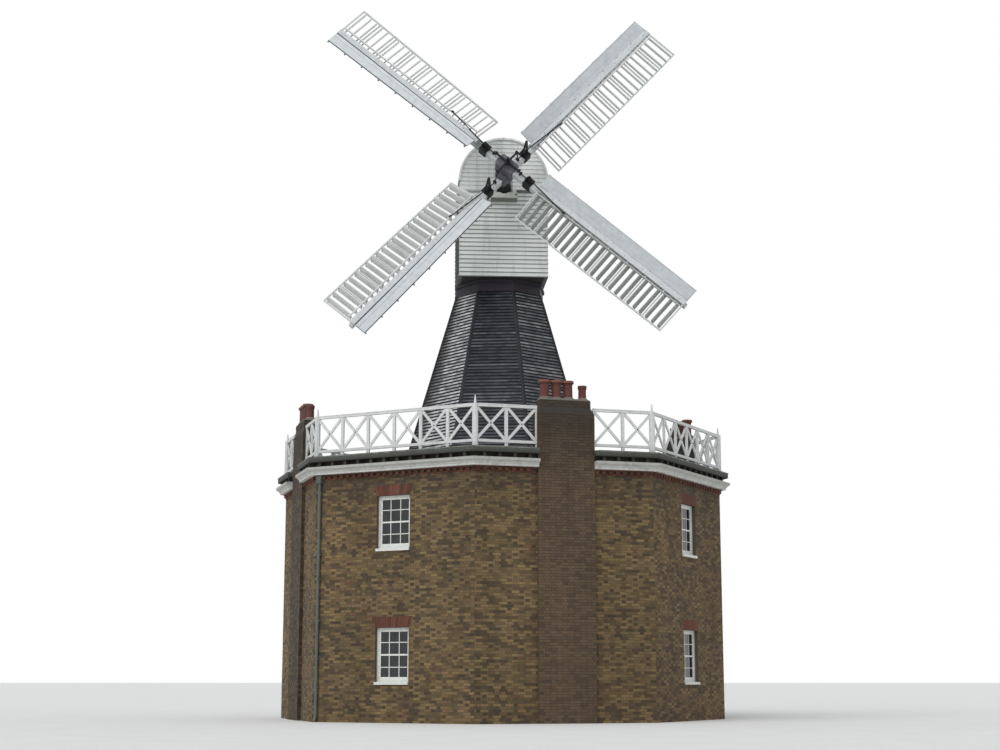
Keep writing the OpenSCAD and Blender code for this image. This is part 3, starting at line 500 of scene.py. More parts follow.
# Fired clay pots: red-brown, a little smoother than brick
terracotta = masonry("terracotta_pot", ("#633026", "#783d30", "#8b4b3b"), "#3d2b25", 8.7,
                     rough=(0.6, 0.8), grit=160.0)
# The pots' rims, paler where rain has washed them
pale_clay = masonry("pale_clay_rim", ("#7f4c3c", "#915a47", "#a06b56"), "#54423a", 9.0, grit=160.0)
# Sawn sandstone: grey-buff and matt
flagstone = masonry("flagstone", ("#827d73", "#8f8a80", "#9b968b"), "#5b574f", 8.0, grit=60.0)
# Forged iron under black paint: dull, and brown at the pits
black_iron = iron("painted_black_iron", ("#131316", "#1a1a1e", "#272424"), 0.0, (0.45, 0.7), 0.25)
# The cast poll end under old grey paint with a purple tinge
poll_iron = iron("poll_end_purple_grey_paint", ("#55535b", "#65636a", "#726c70"), 0.0, (0.5, 0.7), 0.35)
# Cast rain pipes under grey-green paint
grey_iron = iron("grey_green_painted_cast_iron", ("#4c544f", "#57605a", "#626a64"), 0.0, (0.4, 0.6))
# Bare sheet lead, beaten to shape: dull grey with a soft sheen
lead_sheet = iron("old_sheet_lead", ("#8b9092", "#979c9e", "#a3a7a8"), 1.0, (0.5, 0.7))
# Off-white painted canvas, and the lower right sail's, drawn greyer as painted shade
canvas = painted_canvas("painted_shutter_canvas", ("#dadbd8", "#e3e4e1", "#eaebe8"))
shaded_canvas = painted_canvas("shutter_canvas_painted_shade", ("#aeb0ac", "#babcb8", "#c6c8c4"))
# Crown glass in the windows: dark, with a soft wavy shine
glass = window_pane("crown_glass")


def dress_nodes():
    """Gives every CAD node its finish."""
    sails = range(1, 5)
    for finish, *names in (
            (lime_mortar, "base_walls_plain", "base_walls_chimney"), (flagstone, "ground_floor"),
            (inside_boards, "first_floor", "shaft_bearings"), (sash_paint, "window_frames"),
            (glass, "window_glass"), (door_paint, "base_door"), (cornice_paint, "cornice"),
            (grey_iron, "downpipes"), (sooty_mortar, "chimney_stacks"), (terracotta, "chimney_pots"),
            (deck_beams, "gallery_deck"), (rail_paint, "railing_long", "railing_short", "railing_posts"),
            (tarred_boards, "tower_walls_square", "tower_walls_diagonal"),
            (tarred_trim, "tower_corner_boards", "tower_door"), (tarred_curb, "tower_curb"),
            (cap_paint, "cap_left_side", "cap_right_side"), (joist_stain_and_shade, "cap_floor"),
            (roof_paint, "cap_front", "cap_rear", "cap_roof"), (beam_paint, "breast_beam"),
            (black_iron, "windshaft", "striking_gear"), (poll_iron, "poll_end"),
            (stock_paint, "outer_stock", "inner_stock"),
            (sail_paint, *(f"sail_frame_{k}" for k in sails)),
            (lead_paint, *(f"leading_board_{k}" for k in sails)),
            (canvas, "shutters_1", "shutters_2", "shutters_4"), (shaded_canvas, "shutters_3")):
        for name in names:
            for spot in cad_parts[name].material_slots:
                spot.material = finish


# Brick base

COURSE = 0.075
JOINT = 0.01
STRETCHER = 0.215
HEADER = 0.1025
# How far the bricks stand out of the mortar and are buried in it, and how evenly they are laid
BRICK_PROUD = 0.006
BURIED = 0.001
UNEVEN = 0.0012
# The least length of a brick, and the least width and height of what an opening leaves of it
LEAST_BRICK = 0.03
SLIVER = 0.018


def cut_round(rect, holes):
    """What is left of a brick's face beside the openings, as rectangles."""
    left = [rect]
    for ha, hb, hc, hd in holes:
        kept = []
        for a, b, c, d in left:
            if b <= ha or a >= hb or d <= hc or c >= hd:
                kept.append((a, b, c, d))
                continue
            if a < ha:
                kept.append((a, ha, c, d))
            if b > hb:
                kept.append((hb, b, c, d))
            if c < hc:
                kept.append((max(a, ha), min(b, hb), c, hc))
            if d > hd:
                kept.append((max(a, ha), min(b, hb), hd, d))
        left = kept
    return [(a, b, c, d) for a, b, c, d in left if b - a > SLIVER and d - c > SLIVER]


def lay_bricks(batch, place, x, y0, y1, z0, z1, holes=(), tones=(0.0, 1.0)):
    """Flemish bond on the plane X = x of a frame: stretchers and darker headers by turns."""
    pair = STRETCHER + HEADER + 2 * JOINT
    row = math.floor(z0 / COURSE)
    while row * COURSE < z1:
        low, high = max(z0, row * COURSE), min(z1, row * COURSE + COURSE - JOINT)
        # The bond is counted from far beyond any wall, so that it meets round the corners
        y = -40 * pair + (row % 2) * pair / 2
        row += 1
        long_one = True
        while y < y1 and high - low > SLIVER:
            length = STRETCHER if long_one else HEADER
            a, b = max(y, y0), min(y + length, y1)
            y += length + JOINT
            burnt = 1.0 if long_one else 0.65
            long_one = not long_one
            if b - a < LEAST_BRICK:
                continue
            tone = tones[0] + (tones[1] - tones[0]) * burnt * batch.chance.random()
            out = x + BRICK_PROUD + batch.vary(UNEVEN)
            for a2, b2, c2, d2 in cut_round((a, b, low, high), holes):
                batch.block(place, (x - BURIED, a2, c2), (out, b2, d2), tone, open_start=True)


def sills(k):
    return SILLS[1:] if k == DOOR_FACE else SILLS


def openings(k):
    """Window and door openings of a face."""
    holes = [(-WINDOW_W / 2, WINDOW_W / 2, z, z + WINDOW_H) for z in sills(k)]
    if k == DOOR_FACE:
        holes.append((-DOOR_W / 2, DOOR_W / 2, 0.0, DOOR_TOP))
    return holes


DENTIL_Z = CORNICE_TOP - CORNICE_H - 0.15
DENTIL_W = 0.1
DENTIL_STEP = 0.2
# Height of the room left for a flat arch, how far it reaches past its opening, and its splay
ARCH_H = 0.3
ARCH_END = 0.11
SPLAY = 0.1


def base_brickwork():
    half = BASE_A * EIGHTH
    plain, by_stack, red = Batch(11), Batch(12), Batch(13)
    for k in range(8):
        place = base_face(k)
        if k in PLAIN_FACES:
            holes = openings(k)
            arches = [(a - ARCH_END, b + ARCH_END, d, d + ARCH_H) for a, b, c, d in holes]
            lay_bricks(plain, place, BASE_A, -half, half, 0, DENTIL_Z, holes + arches)
            for a, b, c, d in holes:
                flat_arch(red, place, a, b, d)
                cut_bricks(plain, place, a, b, d)
            runs = [(-half, half)]
        else:
            for a, b in ((-half, -STACK_W / 2), (STACK_W / 2, half)):
                lay_bricks(by_stack, place, BASE_A, a, b, 0, DENTIL_Z)
            runs = [(-half, -STACK_W / 2 - 0.01), (STACK_W / 2 + 0.01, half)]
        for a, b in runs:
            dentil_course(red, place, a, b)
    plain.make("brickwork_plain_faces", "mill", stock_brick, "brick")
    by_stack.make("brickwork_chimney_faces", "mill", stock_brick, "brick")
    red.make("red_brick_dressings", "mill", red_brick, "brick")


def flat_arch(batch, place, a, b, z):
    """Gauged flat arch of tapered bricks over an opening."""
    count, top = 15, z + ARCH_H - JOINT
    step = (b - a) / count
    for i in range(count):
        lower = (a + i * step + 0.003, a + (i + 1) * step - 0.003)
        upper = [y + SPLAY * (2 * (y - a) / (b - a) - 1) for y in lower]
        outline = ((lower[0], z + 0.004), (lower[1], z + 0.004), (upper[1], top), (upper[0], top))
        batch.prism(place, 0, (BASE_A - BURIED, BASE_A + 0.008 + batch.vary(0.001)), outline)


def cut_bricks(batch, place, a, b, z):
    """Stock bricks cut to the splay at both ends of a flat arch, in the wall's courses."""
    row = math.floor(z / COURSE)
    while row * COURSE < z + ARCH_H:
        low, high = max(z, row * COURSE), min(z + ARCH_H, row * COURSE + COURSE - JOINT)
        row += 1
        if high - low < 0.01:
            continue
        for s, end in ((-1, a), (1, b)):
            skew = [end + s * (0.004 + SPLAY * (h - z) / ARCH_H) for h in (low, high)]
            far = end + s * ARCH_END
            outline = ((far, low), (skew[0], low), (skew[1], high), (far, high))
            batch.prism(place, 0, (BASE_A - BURIED, BASE_A + BRICK_PROUD + batch.vary(UNEVEN)), outline)


def dentil_course(batch, place, a, b):
    """Red brick heads set proud under the cornice, with a run of bricks over and under them."""
    y = a
    while y < b - 0.05:
        end = min(y + STRETCHER, b)
        for proud, low, high in ((0.025, 0.0, 0.04), (0.075, 0.112, 0.148)):
            batch.block(place, (BASE_A, y, DENTIL_Z + low), (BASE_A + proud, end, DENTIL_Z + high))
        y += STRETCHER + JOINT
    y = a + 0.02
    while y < b - DENTIL_W:
        batch.block(place, (BASE_A, y, DENTIL_Z + 0.04), (BASE_A + 0.07, y + DENTIL_W, DENTIL_Z + 0.108))
        y += DENTIL_STEP


# Range of the bricks' tones on each stack: the left-hand one is the sootiest
STACK_TONES = {0: (0.35, 1.0), 2: (0.1, 0.9), 4: (0.0, 0.8), 6: (0.0, 0.6)}


def stack_brickwork():
    """Sooty bricks on every face of the stacks, narrower above the shoulders."""
    bricks = Batch(21)
    face = BASE_A + STACK_PROUD
    half, inner = STACK_W / 2, STACK_W / 2 - SHOULDER_IN
    mid = face - SHOULDER_IN / 2
    back = face - STACK_D
    neck = SHOULDER_Z + SHOULDER_H
    for k in CHIMNEY_FACES:
        place = base_face(k)
        rear = place @ turned(math.pi)
        walls = [(place, face, -half, half, 0, SHOULDER_Z), (place, mid, -inner, inner, neck, STACK_TOP),
                 (rear, -back, -half, half, DECK_TOP, SHOULDER_Z),
                 (rear, -back, -inner, inner, SHOULDER_Z, STACK_TOP)]
        for s in (1, -1):
            side = place @ turned(s * math.pi / 2)
            for x, depth, near, z0, z1 in (
                    (half, face, back, DECK_TOP, SHOULDER_Z), (half, face, BASE_A, 0, DENTIL_Z),
                    (inner, mid, back, neck, STACK_TOP)):
                walls.append((side, x, *sorted((-s * depth, -s * near)), z0, z1))
        for wall in walls:
            lay_bricks(bricks, *wall, tones=STACK_TONES[k])
    bricks.make("stack_brickwork", "mill", sooty_brick, "stack_brick")


# Place along the stack, radius and height of each pot
POTS = ((-0.535, 0.126, 0.56), (-0.199, 0.126, 0.56), (0.137, 0.126, 0.56), (0.55, 0.108, 0.45))
# A pot of less than this radius has no pale rim
SLIM_POT = 0.12


def pot_flaunching():
    """Cement weathered up round the pots and over the stack's head, and pale rims on the wider pots."""
    cap, rims = Batch(31), Batch(32)
    mid = BASE_A + STACK_PROUD - SHOULDER_IN / 4 - STACK_D / 2
    for k in CHIMNEY_FACES:
        place = base_face(k) @ shifted(mid, 0, STACK_TOP)
        rings = []
        for rise, hx, hy in ((0.0, 0.2, 0.71), (0.012, 0.2, 0.71), (0.06, 0.13, 0.66)):
            ring = []
            for x0, y0, x1, y1, steps in ((-hx, -hy, -hx, hy, 10), (-hx, hy, hx, hy, 3),
                                          (hx, hy, hx, -hy, 10), (hx, -hy, -hx, -hy, 3)):
                for i in range(steps):
                    x, y = x0 + (x1 - x0) * i / steps, y0 + (y1 - y0) * i / steps
                    ring.append((x, y, rise + cap.vary(0.004)))
            rings.append(ring)
        cap.loft(place, rings)
        for y, r, h in POTS:
            at = place @ shifted(0, y, 0)
            cap.turned_piece(at, ((r + 0.05, 0.03), (r + 0.045, 0.07), (r + 0.012, 0.1)))
            if r > SLIM_POT:
                ring_of_clay(rims, at, (
                    (r + 0.0295, h - 0.0005), (r + 0.0375, h - 0.0145), (r + 0.0378, h - 0.058),
                    (r + 0.034, h - 0.062), (r + 0.02, h - 0.05), (r + 0.02, h - 0.0005)))
    cap.make("pot_flaunching", "mill", cement, "stack_brick", smooth=True)
    rims.make("pot_rims", "mill", pale_clay, "red_clay", smooth=True)


def ring_of_clay(batch, place, outline, sides=32):
    """A ring with the given outline, closed on itself."""
    start, size = len(batch.points), len(outline)
    circles = [circle(r, z, sides) for r, z in outline]
    for i in range(sides):
        batch.points.extend(place @ level[i] for level in circles)
        here, there = start + i * size, start + (i + 1) % sides * size
        for j in range(size):
            k = (j + 1) % size
            batch.faces.append((here + j, here + k, there + k, there + j))
            batch.tones.append(0.5)


def window_bars():
    """Sashes of twelve panes, with meeting rails, in every window."""
    bars = Batch(41)
    glass_x = BASE_A - FRAME_BACK + 0.045
    w, stile, thin = WINDOW_W / 2 - 0.06, 0.045, 0.011
    for k in PLAIN_FACES:
        place = base_face(k)
        for z in sills(k):
            low, high = z + 0.13, z + WINDOW_H - 0.06
            mid = (low + high) / 2
            upright = [-w + 2 * w * i / 3 for i in (1, 2)]
            # Stiles, rails, upright bars and level bars: ends, heights, back, front and tone
            parts = [(y, y + stile, low, high, -0.022, 0.022, 0.5) for y in (-w, w - stile)]
            parts += [(-w, w, z0, z1, -0.02, 0.024, 0.6) for z0, z1 in (
                (low, low + 0.07), (mid - 0.022, mid + 0.022), (high - stile, high))]
            parts += [(y - thin, y + thin, low, high, -0.016, 0.018, 0.4) for y in upright]
            parts += [(-w, w, h - thin, h + thin, -0.016, 0.018, 0.4)
                      for h in ((low + mid) / 2, (mid + high) / 2)]
            for y0, y1, z0, z1, back, front, tone in parts:
                bars.block(place, (glass_x + back, y0, z0), (glass_x + front, y1, z1), tone)
    bars.make("window_bars", "mill", sash_paint, "white_paint")


def door_joinery(batch, ironwork, place, w, h, face):
    """Upright boards, strap hinges with their knuckles, and a latch with a bar handle, on a door leaf."""
    count = round(w / 0.14)
    step = w / count
    for i in range(count):
        y = -w / 2 + i * step
        front = face + 0.012 + batch.vary(0.001)
        batch.block(place, (face, y + 0.002, 0.012), (front, y + step - 0.002, h - 0.006))
    skin, strap, knuckle, hung = face + 0.011, face + 0.019, face + 0.016, -w / 2 + 0.002
    for z in (0.25, h - 0.3):
        ironwork.block(place, (skin, -w / 2 + 0.01, z), (strap, w / 2 - 0.16, z + 0.05))
        for i in range(4):
            y = -w / 2 + 0.06 + i * (w - 0.3) / 3
            ironwork.bolt(place, (strap, y, z + 0.025), (1, 0, 0), 0.014)
        ironwork.rod(place, (knuckle, hung, z - 0.03), (knuckle, hung, z + 0.08), 0.014)
    plate, grip, latch_z, handle_z = face + 0.017, face + 0.055, h * 0.48, h * 0.48 + 0.13
    ironwork.block(place, (skin, w / 2 - 0.13, latch_z), (plate, w / 2 - 0.05, latch_z + 0.2))
    ironwork.rod(place, (plate, w / 2 - 0.09, handle_z), (face + 0.06, w / 2 - 0.09, handle_z), 0.009)
    ironwork.rod(place, (grip, w / 2 - 0.14, handle_z), (grip, w / 2 - 0.04, handle_z), 0.011)


def doors():
    ironwork = Batch(53)
    leaves = (
        (51, base_face(DOOR_FACE) @ shifted(BASE_A - FRAME_BACK, 0, 0.15), (0.95, 2.075, 0.0675),
         "base_door_boards", door_paint, "door_paint"),
        (52, tower_slant(TOWER_DOOR_FACE) @ shifted(-0.15, 0, 0), (0.75, 1.875, 0.0975),
         "tower_door_boards", tarred_trim, "tarred_boards"))
    for seed, place, sizes, name, finish, slot in leaves:
        boards = Batch(seed)
        door_joinery(boards, ironwork, place, *sizes)
        boards.make(name, "mill", finish, slot)
    ironwork.make("door_ironwork", "mill", black_iron, "black_iron")


# Gallery


def deck_planks():
    """Planks from the middle out to the deck's edge, mitred over the corners, and joist ends below."""
    planks, joists = Batch(61), Batch(62)
    edge = BASE_A + DECK_REACH + 0.012
    stop = BASE_A + STACK_PROUD - STACK_D - 0.006
    width, joist_step = 0.178, 0.42
    for k in range(8):
        place = base_face(k)
        half = edge * EIGHTH
        count = math.ceil(half / width)
        for i in range(-count, count):
            y0, y1 = max(i * width + 0.003, -half), min((i + 1) * width - 0.003, half)
            if y1 - y0 < 0.02:
                continue
            at_stack = k in CHIMNEY_FACES and y1 > -STACK_W / 2 - 0.004 and y0 < STACK_W / 2 + 0.004
            one_plank(planks, place, y0, y1, stop if at_stack else edge)
        for i in range(-6, 6):
            y = (i + 0.5) * joist_step
            if k in CHIMNEY_FACES and abs(y) < STACK_W / 2 + 0.06:
                continue
            joists.block(place, (BASE_A, y - 0.04, CORNICE_TOP), (BASE_A + 0.19, y + 0.04, WALL_H))
    planks.make("deck_planks", "mill", deck_timber, "deck_boards")
    joists.make("joist_ends", "mill", joist_stain_and_shade, "deck_boards")


def one_plank(batch, place, y0, y1, x1):
    """One plank from the mitre line to x1, with a nosing over the deck's edge."""
    top = DECK_TOP + 0.007 + batch.vary(0.0015)
    inner0, inner1 = abs(y0) / EIGHTH + 0.002, abs(y1) / EIGHTH + 0.002
    if y0 < 0 < y1:
        inner0 = inner1 = max(inner0, inner1)
    if min(inner0, inner1) >= x1 - 0.02:
        return
    inner0, inner1 = min(inner0, x1 - 0.01), min(inner1, x1 - 0.01)
    outer = x1 + batch.vary(0.004)
    outline = ((inner0, y0), (outer, y0), (outer, y1), (inner1, y1))
    batch.prism(place, 2, (DECK_TOP - 0.03, top), outline)


def railing_bolts():
    """A bolt through each crossing of the braces, painted shoes under the uprights, and a capping."""
    bolts, caps = Batch(71), Batch(72)
    rail_a, end = RAIL_SIDE / 2 / EIGHTH, RAIL_SIDE / 2
    height = DECK_TOP + (RAIL_LOW + RAIL_H) / 2
    profile = [(rail_a + x, DECK_TOP + RAIL_H + z) for x, z in (
        (-0.045, 0.03), (0.045, 0.03), (0.045, 0.042), (0.0, 0.056), (-0.045, 0.042))]
    for k in range(8):
        place = base_face(k)
        runs = [(-end, end, 6)]
        if k in CHIMNEY_FACES:
            runs = [(-end, -STACK_W / 2, 2), (STACK_W / 2, end, 2)]
        for a, b, bays in runs:
            step = (b - a) / bays
            for i in range(bays):
                for s in (1, -1):
                    bolts.bolt(place, (rail_a + s * 0.017, a + (i + 0.5) * step, height), (s, 0, 0), 0.02)
            for i in range(1, bays):
                y = a + i * step
                caps.block(place, (rail_a - 0.033, y - 0.055, DECK_TOP + 0.007),
                           (rail_a + 0.033, y + 0.055, DECK_TOP + 0.034))
            caps.prism(place, 1, (max(a, -end + 0.08), min(b, end - 0.08)), profile)
    bolts.make("railing_ironwork", "mill", black_iron, "black_iron")
    caps.make("handrail_capping", "mill", rail_paint, "white_paint")


# Tower

# Thickness of a lapped board's upper edge, and the opening that the boards leave at the door
THIN_EDGE = 0.005
DOORWAY_TOP = 1.93
DOORWAY_HW = 0.47
# How pale the tar is drawn on each side of the tower: the weather's bleaching, with painted light round
# the tower, palest on the left-hand side as a painted sheen of the sky
SHEEN_AND_BLEACH = (0.42, 0.53, 0.46, 0.4, 0.38, 0.42, 0.58, 0.97)


def lapped_board(batch, place, low, high, ends_low, ends_high, thick, tone, shaded):
    """A wedge board, X out, Y along, Z up, its ends given at both edges.

    Its butt is drawn darkest, and its face nearly as dark above the share that the next board shades:
    painted shade.
    """
    rings = []
    for a, b in zip(ends_low, ends_high):
        bend = (thick + (THIN_EDGE - thick) * shaded, a + (b - a) * shaded, low + (high - low) * shaded)
        rings.append(((0.0, a, low), (thick, a, low), bend, (THIN_EDGE, b, high), (0.0, b, high)))
    batch.loft(place, rings, tone, strips=[[0.0, tone, 0.12 * tone, 0.0, 0.0]])


def split_run(batch, a, b, longest):
    """Butt joints at chance places in a run of boarding."""
    spots = [a]
    while b - spots[-1] > longest:
        spots.append(spots[-1] + batch.chance.uniform(0.45, 0.95) * longest)
    if b - spots[-1] < 0.3 and len(spots) > 1:
        spots.pop()
    return list(zip(spots, spots[1:] + [b]))


def tower_reach(z):
    """Half the width of a tower wall between its corner boards, at a height up its slope."""
    half_low, half_top = TOWER_A_LOW * EIGHTH, TOWER_A_TOP * EIGHTH
    return half_low + (half_top - half_low) * z / SLANT - CORNER_W - 0.002


def tower_weatherboards():
    lap = 0.022
    rows = round(SLANT / 0.106)
    rise = SLANT / rows
    for name, faces in (("tower_boards_square", (0, 2, 4, 6)), ("tower_boards_diagonal", (1, 3, 5, 7))):
        boards = Batch(81 + faces[0])
        for k in faces:
            place = tower_slant(k)
            for i in range(rows):
                low = i * rise + (boards.vary(0.003) if i else 0.004)
                high = min((i + 1) * rise + lap, SLANT - 0.004)
                reach_low, reach_high = tower_reach(low), tower_reach(high)
                runs = split_run(boards, -reach_low, reach_low, 3.2)
                if k == TOWER_DOOR_FACE and low < DOORWAY_TOP:
                    runs = [(-reach_low, -DOORWAY_HW), (DOORWAY_HW, reach_low)]
                thick = 0.026 + boards.vary(0.0015)
                for n, (a, b) in enumerate(runs):
                    start = (a + 0.002, a + 0.002) if n else (a, -reach_high)
                    end = (b, b) if n < len(runs) - 1 else (b, reach_high)
                    tone = SHEEN_AND_BLEACH[k] + boards.vary(0.07)
                    ends = zip(start, end)
                    lapped_board(boards, place, low, high, *ends, thick, tone, 0.45)
        boards.make(name, "mill", tarred_boards, "tarred_boards")


def tower_trim():
    """Lining round the tower's door, and a skirting at the foot of the walls."""
    trim = Batch(91)
    place = tower_slant(TOWER_DOOR_FACE)
    for s in (1, -1):
        y0, y1 = sorted((s * 0.45, s * 0.465 + s * 0.07))
        trim.block(place, (0.0, y0, 0.01), (0.03, y1, 1.99))
    trim.block(place, (0.0, -0.56, 1.95), (0.034, 0.56, 2.05))
    half = TOWER_A_LOW * EIGHTH + 0.012
    profile = ((0.0, 0.004), (0.045, 0.004), (0.045, 0.03), (0.028, 0.06), (0.0, 0.06))
    for k in range(8):
        runs = [(-half, -0.54), (0.54, half)] if k == TOWER_DOOR_FACE else [(-half, half)]
        for run in runs:
            trim.prism(tower_slant(k), 1, run, profile)
    trim.make("tower_skirting", "mill", tarred_trim, "tarred_boards")


# Cap

CAP_EXPOSURE = 0.13
CAP_BUTT = 0.028
# Heights where the boards of a cap end stop, below its ledge and in the arch
BREAST_TOP = 15.70
ARCH_TOP = 17.31
# Lowest and highest point and half the width of the hole that the windshaft comes through
SHAFT_HOLE = (15.46, 16.02, 0.27)
# Tones of a board's butt and face, the shaded strip's share of the face's tone, and the butt's thickness;
# the dark butt and the shaded strip under the next board's lap are painted shade
BREAST_BOARDS = (0.04, 0.82, 0.38, CAP_BUTT)
ARCH_BOARDS = (0.1, 1.0, 0.72, 0.021)


def arch_half(z, radius):
    """Half the width of a cap end at a height."""
    return radius if z <= CAP_SPRING else math.sqrt(max(radius ** 2 - (z - CAP_SPRING) ** 2, 1e-4))


def end_boards(batch, place, face, z0, z1, boards, hole=None, radius=CAP_HW):
    """Level lapped boards on a cap end; place has Y out of the wall, X along it."""
    butt, tone, shaded, butt_thick = boards
    rows = round((z1 - z0) / CAP_EXPOSURE)
    rise = (z1 - z0) / rows
    for i in range(rows):
        low, high = z0 + i * rise, min(z0 + (i + 1) * rise + 0.018, z1)
        if arch_half(low, radius) < 0.12:
            continue
        thick = butt_thick + batch.vary(0.0015)
        bright = tone + batch.vary(0.12)
        # Back, end, front and end of each step up a board; the two upper steps are painted shade under
        # the next board's lap
        strips = [[0.0, 0.6 * bright, bright, 0.6 * bright]] * 3
        strips += [[0.0, 0.3 * bright, shaded * bright, 0.3 * bright]] * 2
        cut = hole and low < hole[1] and high > hole[0]
        for left, right in (((-1, 0), (0, 1)) if cut else ((-1, 1),)):
            rings = []
            for share in (0.0, 0.22, 0.44, 0.63, 0.88, 1.0):
                z = low + (high - low) * share
                out = face + (thick + (THIN_EDGE - thick) * share)
                a = -arch_half(z, radius) if left else hole[2]
                b = arch_half(z, radius) if right else -hole[2]
                rings.append(((a, face, z), (b, face, z), (b, out, z), (a, out, z)))
            batch.loft(place, rings, butt, strips=strips)


def cap_boards():
    """Lapped boards on both ends and both sides of the cap."""
    foot = CAP_LOW + 0.002
    for name, seed, place, out, hole in (
            ("cap_front_boards", 101, CAP @ turned(math.pi), CAP_FRONT, SHAFT_HOLE),
            ("cap_rear_boards", 102, CAP, CAP_REAR, None)):
        boards = Batch(seed)
        end_boards(boards, place, out, foot, BREAST_TOP, BREAST_BOARDS, hole)
        end_boards(boards, place, out + 0.07, CAP_LEDGE + 0.02, ARCH_TOP, ARCH_BOARDS, hole,
                   CAP_HW - 0.004)
        boards.make(name, "cap", cap_paint, "cap_boards")
    rows = round((CAP_SPRING - 0.02 - CAP_LOW) / CAP_EXPOSURE)
    rise = (CAP_SPRING - 0.02 - CAP_LOW) / rows
    for name, s in (("cap_left_boards", -1), ("cap_right_boards", 1)):
        boards = Batch(103 + s)
        place = CAP @ turned(0 if s > 0 else math.pi) @ shifted(CAP_HW, 0, 0)
        ends = (-CAP_FRONT, CAP_REAR) if s > 0 else (-CAP_REAR, CAP_FRONT)
        for i in range(rows):
            low, high = foot + i * rise, CAP_LOW + (i + 1) * rise + 0.018
            thick, tone = CAP_BUTT + boards.vary(0.0015), 0.62 + boards.vary(0.16)
            lapped_board(boards, place, low, high, ends, ends, thick, tone, 0.52)
        boards.make(name, "cap", cap_paint, "cap_boards")


def cap_roof_boards():
    """Lapped boards laid from front to rear over the round roof, up to a ridge roll."""
    boards, ridge = Batch(111), Batch(112)
    rows, r = 13, CAP_HW + 0.025
    front, rear = -CAP_FRONT - 0.118, CAP_REAR + 0.118
    for s in (1, -1):
        for i in range(rows):
            a0 = math.pi / 2 * i / rows
            a1 = math.pi / 2 * (i + 1.12) / rows
            angles = [a0 + (a1 - a0) * j / 3 for j in range(4)]
            thick = 0.02 + boards.vary(0.0015)
            face = [(r + (thick + (0.003 - thick) * j / 3), a) for j, a in enumerate(angles)]
            back = [(r - 0.002, a) for a in reversed(angles)]
            outline = [(s * out * math.cos(a), CAP_SPRING + out * math.sin(a)) for out, a in face + back]
            for y0, y1 in split_run(boards, front, rear, 2.6):
                boards.prism(CAP, 1, (y0, y1 - (0.002 if y1 < rear else 0)), outline)
    boards.make("cap_roof_boards", "cap", roof_paint, "cap_boards")
    roll = [(x, CAP_SPRING + r + z) for x, z in (
        (-0.11, 0.0), (0.11, 0.0), (0.105, 0.014), (0.03, 0.024), (0.0, 0.03),
        (-0.03, 0.024), (-0.105, 0.014))]
    ridge.prism(CAP, 1, (front - 0.01, rear + 0.01), roll)
    ridge.make("ridge_lead", "cap", lead_sheet, "grey_iron")


def cap_trim():
    """Ledge moulding and a thin barge board on both ends, and the beam's bosses and bolts."""
    trim, barge, iron_parts = Batch(121), Batch(123), Batch(122)
    edge = CAP_HW + 0.012
    near, far = CAP_HW - 0.014, CAP_HW + 0.046
    for place, out, runs in (
            (CAP @ turned(math.pi), CAP_FRONT, ((-edge, -0.285), (0.285, edge))),
            (CAP, CAP_REAR, ((-edge, edge),))):
        ledge = [(out + y, CAP_LEDGE + z) for y, z in (
            (0.0, -0.03), (0.06, -0.03), (0.095, -0.01), (0.102, 0.022), (0.0, 0.03))]
        for run in runs:
            trim.prism(place, 0, run, ledge)
        rings = []
        for i in range(41):
            a = math.pi * i / 40
            rings.append([(r * math.cos(a), out + y, CAP_SPRING + r * math.sin(a))
                          for r, y in ((near, 0.117), (far, 0.117), (far, 0.13), (near, 0.13))])
        barge.loft(place, rings, 1.0)
    boss = ((0.1, 0.0), (0.1, 0.08), (0.085, 0.13), (0.05, 0.16), (0.01, 0.17))
    for s in (-1, 1):
        trim.turned_piece(CAP @ shifted(s * 0.29, -CAP_FRONT - 0.1, BEAM_TOP), boss)
        for y in (-CAP_FRONT - 0.08, -CAP_FRONT - 0.22):
            iron_parts.bolt(CAP, (s * 0.36, y, BEAM_TOP), (0, 0, 1), 0.028)
        iron_parts.bolt(CAP, (s * 0.36, -CAP_FRONT - 0.3, 15.53), (0, -1, 0), 0.028)
    trim.make("cap_mouldings", "cap", cap_paint, "cap_boards", smooth=True)
    barge.make("barge_boards", "cap", cap_paint, "cap_boards", smooth=True)
    iron_parts.make("breast_beam_bolts", "cap", black_iron, "black_iron")


# Sails


def blade(k, r):
    """A sail's twisted plane at a radius: X along the stock, Y to the leading side, Z to the front."""
    return sail(k) @ shifted(r, 0, BAR_Z) @ turned(weather(r), "X")


